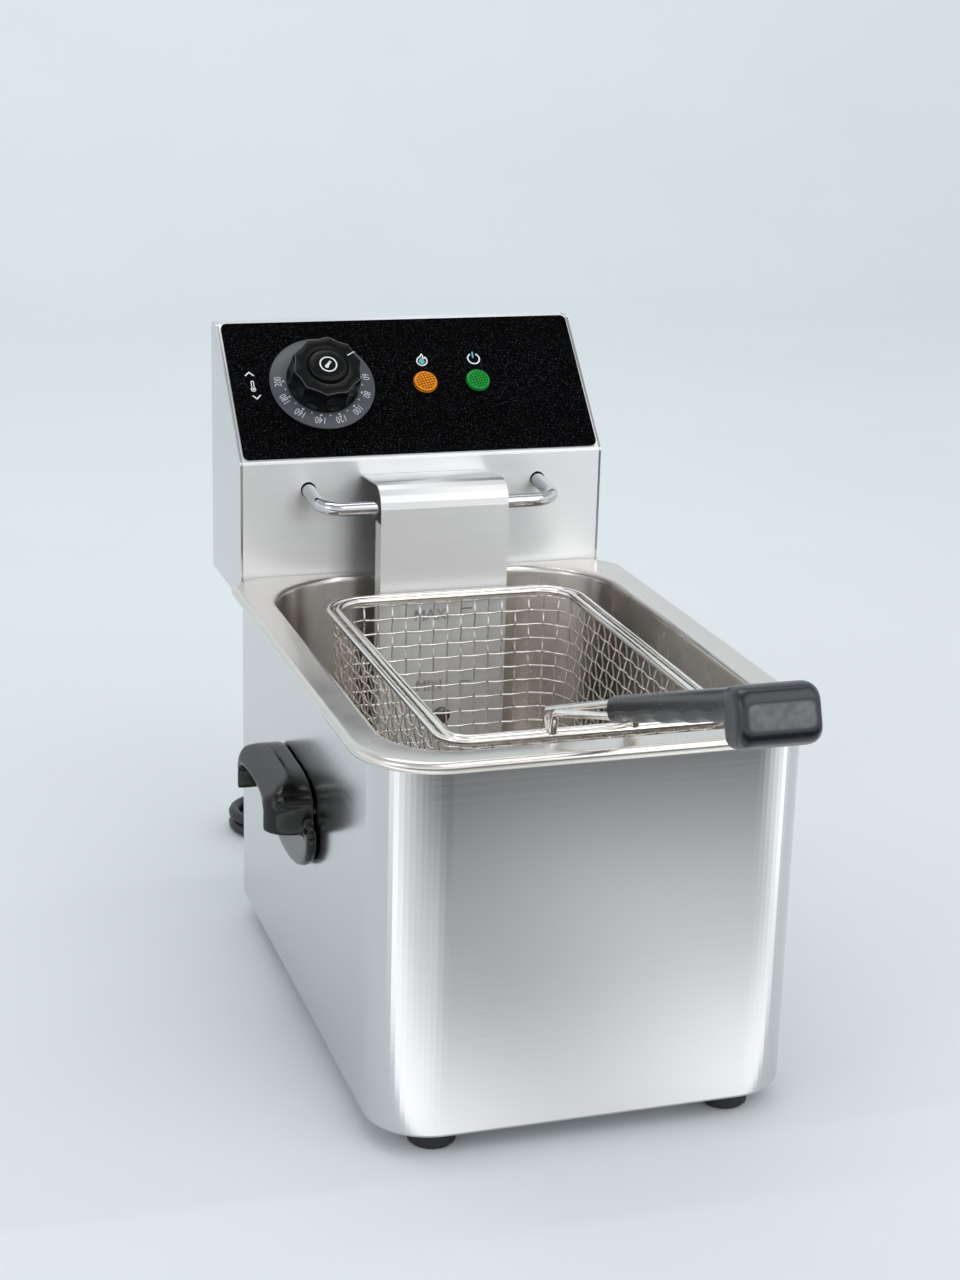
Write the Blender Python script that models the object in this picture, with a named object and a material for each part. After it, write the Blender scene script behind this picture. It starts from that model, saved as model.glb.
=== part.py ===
"""Counter-top deep fryer: housing, lift-out oil pan, removable control head and basket.

Drawing dimensions are millimetres. x runs to the right, y (depth) back from the housing's
front face, z (height) up from the housing's lower edge. at() turns such a point into the
part's own frame: metres, +Z up, front towards -Y, origin under the middle of the fryer.
"""
import math

import bmesh
import bpy
from mathutils import Matrix, Vector

# ---------------------------------------------------------------- driving dimensions
BODY_W, BODY_D, BODY_H = 220.0, 316.5, 195.2      # housing outside width, depth, wall height
BODY_FRONT_R, BODY_REAR_R = 33.0, 4.0             # its vertical corners
SHEET = 1.0                                       # sheet steel thickness
FOOT_H, FOOT_R = 11.0, 12.2                        # rubber feet
GAP = 0.3                                         # clearance between touching pieces

PAN_HALF, PAN_FRONT, PAN_REAR = 101.0, 10.0, 308.0         # inner opening of the oil pan
FLANGE_HALF, FLANGE_FRONT, FLANGE_REAR = 119.0, -7.5, 316.5
FLANGE_Z, PAN_FLOOR, PAN_EDGE_R = 196.5, 46.0, 18.0
PAN_FRONT_R, PAN_REAR_R, FLANGE_FRONT_R, FLANGE_REAR_R = 36.0, 50.0, 41.0, 18.0
PAN_TAPER = 0.04                                  # wall lean, mm per mm of depth

HEAD_HALF, HEAD_Y, HEAD_BACK = 110.0, 317.0, 399.0        # control head
HEAD_BASE, FOLD_Z, SLOPE_Y, HEAD_TOP = 182.5, 264.0, 385.0, 333.0

KNOB_X, KNOB_S = -53.6, 51.3                      # knob axis on the sloped face
DIAL_R, GRIP_R, CAP_R, SHAFT_R = 31.5, 21.9, 11.4, 3.0
LAMP_X, LAMP_S, LENS_R = (9.4, 42.2), 50.3, 7.4

BAR_R, BAR_X, BAR_Y, BAR_Z, BAR_DROP = 4.0, 70.0, 281.5, 248.5, 5.0
COVER_HALF, COVER_Y, COVER_TOP, COVER_FOOT = 38.0, 273.5, 256.8, 84.0
COVER_SIDE_TOP, COVER_SIDE = 235.0, 12.0          # its side folds: upper end and depth
ELEMENT_R, ELEMENT_Z, LEG_X, LEG_Y, LEG_TOP = 3.3, 66.0, 24.0, 291.0, 222.0

RIM_HALF, RIM_FRONT, RIM_REAR, RIM_Z = 76.5, 21.5, 270.0, 193.9
RIM_FRONT_R, RIM_REAR_R = 18.0, 27.0
RIM_OUT_WIRE, RIM_IN_WIRE, MESH_WALL = 1.6, 2.2, 1.0      # wire radii, mesh solid's wall
BASKET_FLOOR = 70.3
GRIP_START, GRIP_ANGLE = (-13.0, 218.2), 19.3     # depth and height, degrees above level
GRIP_LENGTH, STEM_LENGTH, HAND_DROP = 175.0, 157.0, 17.5

HANDLE_Y, HANDLE_HALF, HANDLE_REACH = 175.0, 51.0, 26.5   # side handles
HANDLE_TOP, HANDLE_LEG, HANDLE_FOOT = 137.0, 109.0, 82.0

CORD_R = 3.6
HANK = dict(left=-92.5, right=76.0, y=442.0, half=27.0, height=14.6)
GLAND = (60.0, 205.0)                             # cord's strain relief: x, height
RESET = (50.0, 262.0)                             # high-limit reset button: x, height

REAR_MOST = HEAD_BACK + 4.0                       # reset bushing's collar
SLOPE_LEN = math.hypot(SLOPE_Y - HEAD_Y, HEAD_TOP - FOLD_Z)
SLOPE_DIR = Vector((0, SLOPE_Y - HEAD_Y, HEAD_TOP - FOLD_Z)) / SLOPE_LEN
SLOPE_OUT = Vector((1, 0, 0)).cross(SLOPE_DIR)
GRIP_DIR = Vector((0, -math.cos(math.radians(GRIP_ANGLE)), math.sin(math.radians(GRIP_ANGLE))))
GRIP_UP = Vector((0, math.sin(math.radians(GRIP_ANGLE)), math.cos(math.radians(GRIP_ANGLE))))
GRIP_TIP = GRIP_START[0] + GRIP_DIR.y * GRIP_LENGTH - GRIP_UP.y * 13.2
Y_MID = (GRIP_TIP + REAR_MOST) / 2                # depth of the part's origin


def at(x, y, z):
    """A drawing point in the part's frame, in metres."""
    return Vector((x, y - Y_MID, z + FOOT_H)) / 1000


def on_slope(x, s, n=0.0):
    """A drawing point s up the sloped face and n above it."""
    p = Vector((x, HEAD_Y, FOLD_Z)) + SLOPE_DIR * s + SLOPE_OUT * n
    return at(*p)


def on_grip(x, t, v):
    """A drawing point t along the basket grip and v above its axis."""
    p = Vector((x, *GRIP_START)) + GRIP_DIR * t + GRIP_UP * v
    return at(*p)


# ---------------------------------------------------------------- materials
def material(name, colour, rough, metal=0.0, alpha=1.0):
    m = bpy.data.materials.get(name) or bpy.data.materials.new(name)
    m.use_nodes = True
    b = m.node_tree.nodes["Principled BSDF"]
    b.inputs["Base Color"].default_value = (*colour, 1)
    b.inputs["Roughness"].default_value = rough
    b.inputs["Metallic"].default_value = metal
    b.inputs["Alpha"].default_value = alpha
    return m


STEEL = ((0.62, 0.62, 0.63), 0.32, 1.0)
BRIGHT = ((0.72, 0.71, 0.70), 0.14, 1.0)
PLASTIC = ((0.014, 0.015, 0.017), 0.22)
SATIN = ((0.035, 0.038, 0.045), 0.42)
RUBBER = ((0.02, 0.02, 0.02), 0.7)
GALV = ((0.48, 0.49, 0.50), 0.45, 1.0)
BAKELITE = ((0.16, 0.10, 0.07), 0.5)
COPPER = ((0.72, 0.42, 0.28), 0.3, 1.0)


# ---------------------------------------------------------------- shape helpers
def add(name, bm, look, smooth=35):
    """Make a mesh object from bm, with its own material."""
    bmesh.ops.recalc_face_normals(bm, faces=bm.faces)
    me = bpy.data.meshes.new(name)
    bm.to_mesh(me)
    bm.free()
    o = bpy.data.objects.new(name, me)
    bpy.context.collection.objects.link(o)
    if look:
        me.materials.append(material(name, *look))
    me.shade_smooth()
    me.set_sharp_from_angle(angle=math.radians(smooth))
    return o


def skin(name, rings, look, closed=False, smooth=35):
    """Join rings of equal length into a solid: capped ends, or a closed loop of rings."""
    bm = bmesh.new()
    rows = [[bm.verts.new(p) for p in ring] for ring in rings]
    n = len(rows[0])
    pairs = list(zip(rows, rows[1:])) + ([(rows[-1], rows[0])] if closed else [])
    for a, b in pairs:
        for i in range(n):
            bm.faces.new((a[i], a[(i + 1) % n], b[(i + 1) % n], b[i]))
    if not closed:
        bm.faces.new(rows[0])
        bm.faces.new(rows[-1])
    return add(name, bm, look, smooth)


def arc(cx, cy, r, a0, a1, steps):
    """Points of an arc, degrees, both ends included."""
    turns = [math.radians(a0 + (a1 - a0) * i / steps) for i in range(steps + 1)]
    return [(cx + r * math.cos(a), cy + r * math.sin(a)) for a in turns]


def rounded(x0, x1, y0, y1, radii, steps=5, rear_steps=None):
    """Outline of a rectangle with its own radius at each corner, anticlockwise from x1, y0."""
    signs = ((x1, y0, -1, 1, -90), (x1, y1, -1, -1, 0), (x0, y1, 1, -1, 90), (x0, y0, 1, 1, 180))
    points = []
    for (x, y, sx, sy, start), r in zip(signs, radii):
        count = rear_steps if rear_steps and y == y1 else steps
        points += arc(x + sx * r, y + sy * r, r, start, start + 90, count)
    return points


def prism(name, outline, place, low, high, look, smooth=35):
    """Extrude an outline: place(u, v, w) maps its points at w = low and high to the frame."""
    rings = [[place(u, v, w) for u, v in outline] for w in (low, high)]
    return skin(name, rings, look, smooth=smooth)


def turned(name, profile, start, direction, look, steps=24, smooth=35):
    """Turn a profile of (distance along, radius) about a line through start."""
    w = Vector(direction).normalized()
    u = w.orthogonal().normalized()
    v = w.cross(u)
    angles = [2 * math.pi * i / steps for i in range(steps)]
    rings = []
    for along, radius in profile:
        mid = start + w * along / 1000
        r = radius / 1000
        rings.append([mid + u * r * math.cos(a) + v * r * math.sin(a) for a in angles])
    return skin(name, rings, look, smooth=smooth)


def rod(name, points, r, look, resolution=2, cyclic=False, radii=None):
    """A round wire, tube or cord along points: a bevelled poly curve with filled caps."""
    cu = bpy.data.curves.new(name, "CURVE")
    cu.dimensions = "3D"
    cu.bevel_depth = r / 1000
    cu.bevel_resolution = resolution
    cu.use_fill_caps = True
    cu.render_resolution_u = 0
    sp = cu.splines.new("POLY")
    sp.points.add(len(points) - 1)
    for i, p in enumerate(points):
        sp.points[i].co = (*p, 1)
        sp.points[i].radius = radii[i] if radii else 1.0
    sp.use_cyclic_u = cyclic
    o = bpy.data.objects.new(name, cu)
    bpy.context.collection.objects.link(o)
    if look:
        cu.materials.append(material(name, *look))
    return o


def bend(points, r, steps=5, cyclic=False):
    """Round the corners of a drawing polyline with radius r."""
    pts = [Vector(p) for p in points]
    out = [] if cyclic else [pts[0]]
    span = range(len(pts)) if cyclic else range(1, len(pts) - 1)
    for i in span:
        p, a, b = pts[i], pts[i - 1], pts[(i + 1) % len(pts)]
        u, v = (a - p).normalized(), (b - p).normalized()
        half = u.angle(v) / 2
        if half > 1.55:                           # no corner here
            out.append(p)
            continue
        cut = min(r / math.tan(half), (a - p).length * 0.49, (b - p).length * 0.49)
        rr = cut * math.tan(half)
        mid = p + (u + v).normalized() * (rr / math.sin(half))
        s, e = p + u * cut - mid, p + v * cut - mid
        sweep = s.angle(e)
        for k in range(steps + 1):
            f = k / steps
            d = (s * math.sin((1 - f) * sweep) + e * math.sin(f * sweep)) / math.sin(sweep)
            out.append(mid + d)
    if not cyclic:
        out.append(pts[-1])
    return out


def smooth_route(points, step):
    """A smooth curve through the points, read off at even steps (Catmull-Rom)."""
    pts = [Vector(p) for p in points]
    pts = [2 * pts[0] - pts[1]] + pts + [2 * pts[-1] - pts[-2]]
    fine = []
    for a, b, c, d in zip(pts, pts[1:], pts[2:], pts[3:]):
        for k in range(20):
            t = k / 20
            fine.append(0.5 * (2 * b + (c - a) * t + (2 * a - 5 * b + 4 * c - d) * t ** 2
                               + (3 * b - a - 3 * c + d) * t ** 3))
    fine.append(pts[-2])
    total = sum((b - a).length for a, b in zip(fine, fine[1:]))
    count = round(total / step)
    out, run, goal = [fine[0]], 0.0, total / count
    for a, b in zip(fine, fine[1:]):
        seg = (b - a).length
        while seg > 0 and run + seg >= goal * len(out) and len(out) < count:
            out.append(a.lerp(b, (goal * len(out) - run) / seg))
        run += seg
    return out + [fine[-1]]


def strip(points, t):
    """Closed outline of a sheet of thickness t, whose outer side follows points."""
    pts = [Vector((*p, 0)) for p in points]
    inner = []
    for i, p in enumerate(pts):
        a = (p - pts[i - 1]).normalized() if i else (pts[1] - p).normalized()
        b = (pts[i + 1] - p).normalized() if i < len(pts) - 1 else a
        n = (Vector((-a.y, a.x, 0)) + Vector((-b.y, b.x, 0))).normalized()
        inner.append(p + n * t / max(n.dot(Vector((-a.y, a.x, 0))), 0.3))
    return [(p.x, p.y) for p in pts] + [(p.x, p.y) for p in reversed(inner)]


def to_mesh(o):
    """Turn a curve object into a mesh, for use as a cutter or a joined piece."""
    me = bpy.data.meshes.new_from_object(o.evaluated_get(bpy.context.evaluated_depsgraph_get()))
    name, look = o.name, o.data.materials[:1]
    bpy.data.objects.remove(o)
    m = bpy.data.objects.new(name, me)
    bpy.context.collection.objects.link(m)
    me.materials.clear()
    for mat in look:
        me.materials.append(mat)
    me.shade_smooth()
    me.set_sharp_from_angle(angle=math.radians(35))
    return m


def combine(o, other, operation="DIFFERENCE"):
    """Cut, join or intersect o with other, which stays only as a guide."""
    mod = o.modifiers.new(other.name, "BOOLEAN")
    mod.operation = operation
    mod.solver = "EXACT"
    mod.object = other
    other.hide_render = True
    other.display_type = "WIRE"
    return o


def soften(o, width, segments=2, angle=40):
    """Bevel the sharp edges."""
    mod = o.modifiers.new("edge", "BEVEL")
    mod.width = width / 1000
    mod.segments = segments
    mod.limit_method = "ANGLE"
    mod.angle_limit = math.radians(angle)
    mod.use_clamp_overlap = True
    return o


def hole(o, start, direction, r, length, name, steps=12):
    """Drill o from start."""
    cutter = turned(name, [(0, r), (length, r)], start, direction, None, steps=steps)
    return combine(o, cutter)


def box(name, low, high, look, radius=0.0):
    o = prism(name, [(low[0], low[1]), (high[0], low[1]), (high[0], high[1]), (low[0], high[1])],
              at, low[2], high[2], look)
    return soften(o, radius) if radius else o


for old in list(bpy.data.objects):
    bpy.data.objects.remove(old)


# ---------------------------------------------------------------- housing
def housing_ring(inset, z):
    radii = [max(r - inset, 0.6) for r in (BODY_FRONT_R, BODY_REAR_R, BODY_REAR_R, BODY_FRONT_R)]
    half = BODY_W / 2 - inset
    return [at(x, y, z) for x, y in rounded(-half, half, inset, BODY_D - inset, radii, 18, 3)]


FOLD = 6.0                                        # inward fold along the housing's lower edge
housing_profile = [(0, 1.6), (0, BODY_H), (SHEET, BODY_H), (SHEET, SHEET), (FOLD, SHEET),
                   (FOLD, 0), (1.6, 0), (0.5, 0.5)]
housing = skin("outer_housing", [housing_ring(*p) for p in housing_profile], STEEL, closed=True)

combine(housing, box("cut_rear_edge", (-112, BODY_D - 16, FLANGE_Z - 7.5), (112, BODY_D + 2, 200), None))
plate = skin("bottom_plate", [housing_ring(SHEET + GAP, z) for z in (SHEET + GAP, 2 * SHEET + GAP)],
             STEEL)
FOOT_SPOTS = {"front_left": (-78, 20.5), "front_right": (78, 20.5),
              "rear_left": (-78, 292), "rear_right": (78, 292)}
for side, (x, y) in FOOT_SPOTS.items():
    foot = [(0, 11.0), (1.2, FOOT_R), (7.5, FOOT_R - 0.6), (FOOT_H + SHEET, 11.4),
            (FOOT_H + SHEET, 2.6), (FOOT_H + 7, 2.6)]
    turned("foot_" + side, foot, at(x, y, -FOOT_H), (0, 0, 1), RUBBER, steps=20)
    hole(plate, at(x, y, -1), (0, 0, 1), 2.9, 8, "cut_foot_" + side)
for row in (-1, 1):
    for k in range(4):
        y = 122 + 24 * k
        slot = prism("cut_vent_%d_%d" % (row, k), rounded(row * 45 - 24, row * 45 + 24, y, y + 5,
                     [2.4] * 4, 2), at, 0, 5, None)
        combine(plate, slot)


# ---------------------------------------------------------------- side handles
def side_place(side, reach, along, z):
    return at(side * (BODY_W / 2 + reach), HANDLE_Y + along, z)


HOOD_HALF, LIP_R, POCKET, POCKET_REACH = 43.0, 16.0, 31.0, 6.0
oval = [(HANDLE_HALF * math.cos(math.radians(a)), 108 + (108 - HANDLE_FOOT) * math.sin(
    math.radians(a))) for a in range(180, 361, 15)]
shoulders = [(sign * 18 + 25 * math.cos(math.radians(a)), HANDLE_TOP - 12 + 12 * math.sin(
    math.radians(a))) for sign, turn in ((1, 0), (-1, 90)) for a in range(turn, turn + 91, 18)]
hood = [(-HOOD_HALF, HANDLE_LEG), (HOOD_HALF, HANDLE_LEG)] + shoulders
plate_outline = oval + [(HANDLE_HALF - 0.8, 113), (HOOD_HALF + 1, 116)] + shoulders + [
    (-HOOD_HALF - 1, 116), (0.8 - HANDLE_HALF, 113)]
pocket = [(-POCKET, 90), (POCKET, 90), (POCKET, 121)] + [
    (POCKET * math.cos(math.radians(a)), 121 + 6.5 * math.sin(math.radians(a)))
    for a in range(20, 180, 20)] + [(-POCKET, 121)]
plan = ([(GAP, HANDLE_HALF + 1), (GAP, -HANDLE_HALF - 1), (7, -HANDLE_HALF - 1), (7, -HOOD_HALF)]
        + arc(HANDLE_REACH - LIP_R, LIP_R - HOOD_HALF, LIP_R, -90, 0, 5)
        + arc(HANDLE_REACH - LIP_R, HOOD_HALF - LIP_R, LIP_R, 0, 90, 5)
        + [(7, HOOD_HALF), (7, HANDLE_HALF + 1)])
brow = [(GAP, 70), (GAP, HANDLE_TOP + 1), (9, HANDLE_TOP), (18, HANDLE_TOP - 3),
        (25, HANDLE_TOP - 9), (HANDLE_REACH, HANDLE_TOP - 16), (HANDLE_REACH + 1, 70)]
for side, word in ((-1, "left"), (1, "right")):
    grip = prism("side_handle_" + word, hood, lambda s, z, u, k=side: side_place(k, u, s, z),
                 GAP, HANDLE_REACH + 1, PLASTIC)
    combine(grip, prism("shape_plan_" + word, plan, lambda u, s, z, k=side: side_place(k, u, s, z),
                        100, 140, None), "INTERSECT")
    combine(grip, prism("shape_brow_" + word, brow, lambda u, z, s, k=side: side_place(k, u, s, z),
                        -60, 60, None), "INTERSECT")
    combine(grip, prism("cut_pocket_" + word, pocket,
                        lambda s, z, u, k=side: side_place(k, u, s, z), POCKET_REACH, 40, None))
    combine(grip, prism("join_plate_" + word, plate_outline,
                        lambda s, z, u, k=side: side_place(k, u, s, z), GAP, POCKET_REACH + 0.4,
                        None), "UNION")
    for end, along in (("front", -1), ("rear", 1)):
        bead = turned("join_bead_%s_%s" % (word, end),
                      [(0.5, 2.8), (19, 2.8), (21.5, 1.8), (22.6, 0.7)],
                      side_place(side, 0, along * (HOOD_HALF - 1.8), 127), (side, 0, 0), None, 12)
        combine(grip, bead, "UNION")
        x = side * (BODY_W / 2 - SHEET - GAP - 2.4)
        screw = [(0, 3.2), (0.8, 4.4), (2.4, 4.4), (2.4, 2.1), (14, 2.1), (15, 1.4)]
        start = at(x, HANDLE_Y + along * 37, 120)
        turned("handle_screw_%s_%s" % (word, end), screw, start, (side, 0, 0), GALV, 16)
        hole(grip, start, (side, 0, 0), 2.4, 18, "cut_screw_%s_%s" % (word, end))
        hole(housing, start, (side, 0, 0), 2.6, 6, "cut_wall_%s_%s" % (word, end))

# ---------------------------------------------------------------- bracket that carries the head
BRACKET_T, BRACKET_HALF = 1.5, 60.0
shelf_z = HEAD_BASE - GAP
path = [(BODY_D + GAP + BRACKET_T, 135), (BODY_D + GAP + BRACKET_T, shelf_z - BRACKET_T),
        (382, shelf_z - BRACKET_T), (382, shelf_z), (BODY_D + GAP, shelf_z), (BODY_D + GAP, 135)]
bracket = prism("head_bracket", path, lambda y, z, x: at(x, y, z), -BRACKET_HALF, BRACKET_HALF,
                STEEL)
for side, word in ((-1, "left"), (1, "right")):
    rivet = [(0, 3.0), (0.9, 4.2), (1.6, 4.2), (1.6, 2.0), (1.6 + SHEET + BRACKET_T + 3 * GAP, 2.0),
             (1.6 + SHEET + BRACKET_T + 3 * GAP, 3.6), (5.6, 2.6)]
    start = at(side * 42, BODY_D - SHEET - GAP - 1.6, 152)
    turned("bracket_rivet_" + word, rivet, start, (0, 1, 0), STEEL, 14)
    hole(housing, start, (0, 1, 0), 2.4, 4.2, "cut_rivet_" + word)
    hole(bracket, start, (0, 1, 0), 2.4, 7, "cut_bracket_" + word)


# ---------------------------------------------------------------- oil pan
def pan_ring(half, z):
    """Outline of the pan where its half-width is half: opening, flange or tapered wall."""
    f = min(max((half - PAN_HALF) / (FLANGE_HALF - PAN_HALF), 0), 1)
    less = max(PAN_HALF - half, 0)
    front = PAN_FRONT + (FLANGE_FRONT - PAN_FRONT) * f + less
    rear = PAN_REAR + (FLANGE_REAR - PAN_REAR) * f - less
    r_front = PAN_FRONT_R + (FLANGE_FRONT_R - PAN_FRONT_R) * f - less * 0.6
    r_rear = PAN_REAR_R + (FLANGE_REAR_R - PAN_REAR_R) * f - less * 0.6
    outline = rounded(-half, half, front, rear, [r_front, r_rear, r_rear, r_front], 6)
    return [at(x, y, z) for x, y in outline]


BEAD_R = 3.3
bead_x = FLANGE_HALF - BEAD_R
foot_half = PAN_HALF - PAN_TAPER * (FLANGE_Z - PAN_FLOOR)
inside = (arc(foot_half - PAN_EDGE_R, PAN_FLOOR + PAN_EDGE_R, PAN_EDGE_R, -90, 0, 3)
          + [(PAN_HALF - 0.1, FLANGE_Z - 4)]
          + arc(PAN_HALF + 3.6, FLANGE_Z - 3.6, 3.6, 165, 90, 3)
          + arc(bead_x, FLANGE_Z - BEAD_R, BEAD_R, 90, -60, 5))
both = strip(inside, -SHEET)
oil_pan = skin("oil_pan", [pan_ring(*p) for p in both], BRIGHT)

# ---------------------------------------------------------------- control head shell
def head_section(inset):
    """Side outline of the head, from the front's foot over the slope to the back's foot."""
    corners = [(0, HEAD_Y, HEAD_BASE), (0, HEAD_Y, FOLD_Z), (0, SLOPE_Y, HEAD_TOP),
               (0, HEAD_BACK, HEAD_TOP), (0, HEAD_BACK, HEAD_BASE)]
    path = [(p.y, p.z) for p in bend(corners, 2.5, 2)]
    return strip(path, -inset)


outer_side = head_section(SHEET)
count = len(outer_side) // 2
WALL_X = HEAD_HALF - SHEET
shell = prism("head_shell", outer_side, lambda y, z, x: at(x, y, z), GAP - WALL_X, WALL_X - GAP,
              STEEL, smooth=25)
for side, word in ((-1, "left"), (1, "right")):
    prism("head_side_" + word, outer_side[:count], lambda y, z, x, k=side: at(k * x, y, z),
          WALL_X, HEAD_HALF, STEEL)
inner = HEAD_Y + SHEET + GAP
base = box("head_base", (GAP - WALL_X + 0.2, inner, HEAD_BASE + GAP),
           (WALL_X - GAP - 0.2, HEAD_BACK - SHEET - GAP, HEAD_BASE + GAP + SHEET), STEEL)
for k in range(4):
    y = inner + 14 + 14 * k
    combine(base, prism("cut_head_vent_%d" % k, rounded(40, 88, y, y + 4, [1.9] * 4, 2), at,
                        HEAD_BASE - 4, HEAD_BASE + 6, None))

FASCIA_T, FASCIA_R = 0.8, 3.5
fascia = prism("fascia_panel", rounded(-107.6, 107.6, 2.2, SLOPE_LEN - 0.4, [FASCIA_R] * 4, 4),
               on_slope, GAP, GAP + FASCIA_T, PLASTIC)
FACE = GAP + FASCIA_T                             # height of the fascia's face above the slope

for o in (shell, fascia):
    hole(o, on_slope(KNOB_X, KNOB_S, -8), SLOPE_OUT, 4.4, 16, "cut_shaft_" + o.name)
    for i, x in enumerate(LAMP_X):
        hole(o, on_slope(x, LAMP_S, -8), SLOPE_OUT, 6.0, 16, "cut_lamp_%s_%d" % (o.name, i))

# ---------------------------------------------------------------- knob and thermostat
knob_at = on_slope(KNOB_X, KNOB_S)
DIAL_LOW, DIAL_HIGH, KNOB_TOP = FACE + 0.6, 4.6, 21.0
dial = turned("dial_ring", [(DIAL_LOW, DIAL_R - 0.4), (DIAL_LOW + 1.2, DIAL_R),
                            (DIAL_HIGH - 0.6, DIAL_R - 1.0), (DIAL_HIGH, DIAL_R - 2.2)],
              knob_at, SLOPE_OUT, SATIN, 48)
hole(dial, knob_at - SLOPE_OUT * 0.002, SLOPE_OUT, SHAFT_R + GAP, 12, "cut_dial")


def knob_ring(n, r, depth):
    """Outline of the grip at height n: ten ridges, with a finger hollow of the given depth between."""
    points = []
    for i in range(80):
        a = 2 * math.pi * i / 80
        dip = depth * abs(math.sin(5 * (a - math.radians(80))))
        points.append(on_slope(KNOB_X + (r - dip) * math.cos(a), KNOB_S + (r - dip) * math.sin(a), n))
    return points


knob = skin("knob_grip", [knob_ring(*p) for p in (
    (DIAL_HIGH + GAP, GRIP_R, 0.2), (DIAL_HIGH + 2.4, GRIP_R - 0.2, 1.0),
    (KNOB_TOP - 0.8, GRIP_R - 1.1, 1.45), (KNOB_TOP, GRIP_R - 1.7, 1.4))], PLASTIC)
hole(knob, knob_at - SLOPE_OUT * 0.002, SLOPE_OUT, SHAFT_R + GAP, 14.4, "cut_knob_bore")
hole(knob, on_slope(KNOB_X, KNOB_S, KNOB_TOP - 1.0), SLOPE_OUT, CAP_R + GAP, 6,
     "cut_knob_cap", 32)
turned("knob_cap", [(KNOB_TOP - 0.7, CAP_R), (KNOB_TOP + 1.0, CAP_R), (KNOB_TOP + 1.7, CAP_R - 1.0)],
       knob_at, SLOPE_OUT, PLASTIC, 32)
turned("thermostat_shaft", [(-22, SHAFT_R), (11.6, SHAFT_R)], knob_at, SLOPE_OUT, GALV, 20)

thermostat = prism("thermostat_body", rounded(KNOB_X - 17, KNOB_X + 17, KNOB_S - 17, KNOB_S + 17,
                   [3] * 4, 2), on_slope, -30, -8, BAKELITE)
combine(thermostat, turned("join_bushing", [(-9, 5.5), (-SHEET - GAP, 5.5)], knob_at, SLOPE_OUT,
                           None, 20), "UNION")
hole(thermostat, on_slope(KNOB_X, KNOB_S, -24), SLOPE_OUT, SHAFT_R + GAP, 30, "cut_spindle")

# ---------------------------------------------------------------- pilot lamps
LAMP_LOOKS = {"heating": ((0.95, 0.45, 0.03), 0.18, 0.0), "power": ((0.03, 0.62, 0.12), 0.18, 0.0)}
for (word, look), x in zip(LAMP_LOOKS.items(), LAMP_X):
    start = on_slope(x, LAMP_S)
    turned("lamp_body_" + word, [(-24, 4.2), (-22, 5.6), (FACE - 0.1, 5.6)], start, SLOPE_OUT,
           BAKELITE, 20)
    turned("lamp_lens_" + word, [(FACE + 0.2, LENS_R), (FACE + 1.4, LENS_R), (FACE + 2.4, LENS_R - 0.9),
                                 (FACE + 2.9, LENS_R - 2.6)], start, SLOPE_OUT, look, 32)

# ---------------------------------------------------------------- basket hanging bar
bar_path = bend([(-BAR_X, 333, BAR_Z), (-BAR_X, BAR_Y, BAR_Z - BAR_DROP),
                 (BAR_X, BAR_Y, BAR_Z - BAR_DROP), (BAR_X, 333, BAR_Z)], 13, 6)
rod("hanging_bar", [at(*p) for p in bar_path], BAR_R, BRIGHT, resolution=3)
nut_z = BAR_Z - BAR_DROP * (333 - 320) / (333 - BAR_Y)     # the bar's arms lean slightly down
for side, word in ((-1, "left"), (1, "right")):
    hole(shell, at(side * BAR_X, 330, nut_z), (0, -1, 0), BAR_R + 0.6, 20, "cut_bar_" + word)
    nut = prism("bar_nut_" + word, arc(side * BAR_X, nut_z, 7.6, 0, 300, 5),
                lambda x, z, y: at(x, y, z), inner + 0.1, inner + 5.5, GALV)
    hole(nut, at(side * BAR_X, 332, nut_z), (0, -1, 0), BAR_R + 0.6, 22, "cut_nut_" + word)

# ---------------------------------------------------------------- element cover
cover_path = [(COVER_Y, COVER_FOOT), (COVER_Y, COVER_SIDE_TOP), (COVER_Y, COVER_TOP - 13)] + [
    (y, z) for y, z in arc(COVER_Y + 13, COVER_TOP - 13, 13, 162, 90, 4)] + [
    (HEAD_Y - GAP, COVER_TOP - 2.2)]
bm = bmesh.new()
columns = [[bm.verts.new(at(x, y, z)) for y, z in cover_path] for x in (-COVER_HALF, COVER_HALF)]
for i in range(len(cover_path) - 1):
    bm.faces.new((columns[0][i], columns[1][i], columns[1][i + 1], columns[0][i + 1]))
for (low, high), x in zip((c[:2] for c in columns), (-COVER_HALF, COVER_HALF)):
    back = [bm.verts.new(at(x, COVER_Y + COVER_SIDE, z)) for z in (COVER_FOOT, COVER_SIDE_TOP)]
    bm.faces.new((low, high, back[1], back[0]) if x < 0 else (low, back[0], back[1], high))
cover = add("element_cover", bm, STEEL, smooth=25)
thick = cover.modifiers.new("sheet", "SOLIDIFY")
thick.thickness = SHEET / 1000
thick.offset = -1
thick.use_even_offset = True
SCREW_Z = 118.0
hole(cover, at(0, COVER_Y - 3, SCREW_Z), (0, 1, 0), 2.4, 8, "cut_cover_screw")
turned("cover_screw", [(-2.6, 1.6), (-2.2, 3.4), (-1.2, 4.8), (-0.2, 5.3), (-0.2, 2.0), (18.4, 2.0)],
       at(0, COVER_Y, SCREW_Z), (0, 1, 0), BRIGHT, 20)
clip = box("bulb_clip", (-14, 286.6, SCREW_Z - 5), (14, 288.0, SCREW_Z + 5), STEEL)
hole(clip, at(0, 284, SCREW_Z), (0, 1, 0), 2.3, 8, "cut_clip")

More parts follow.
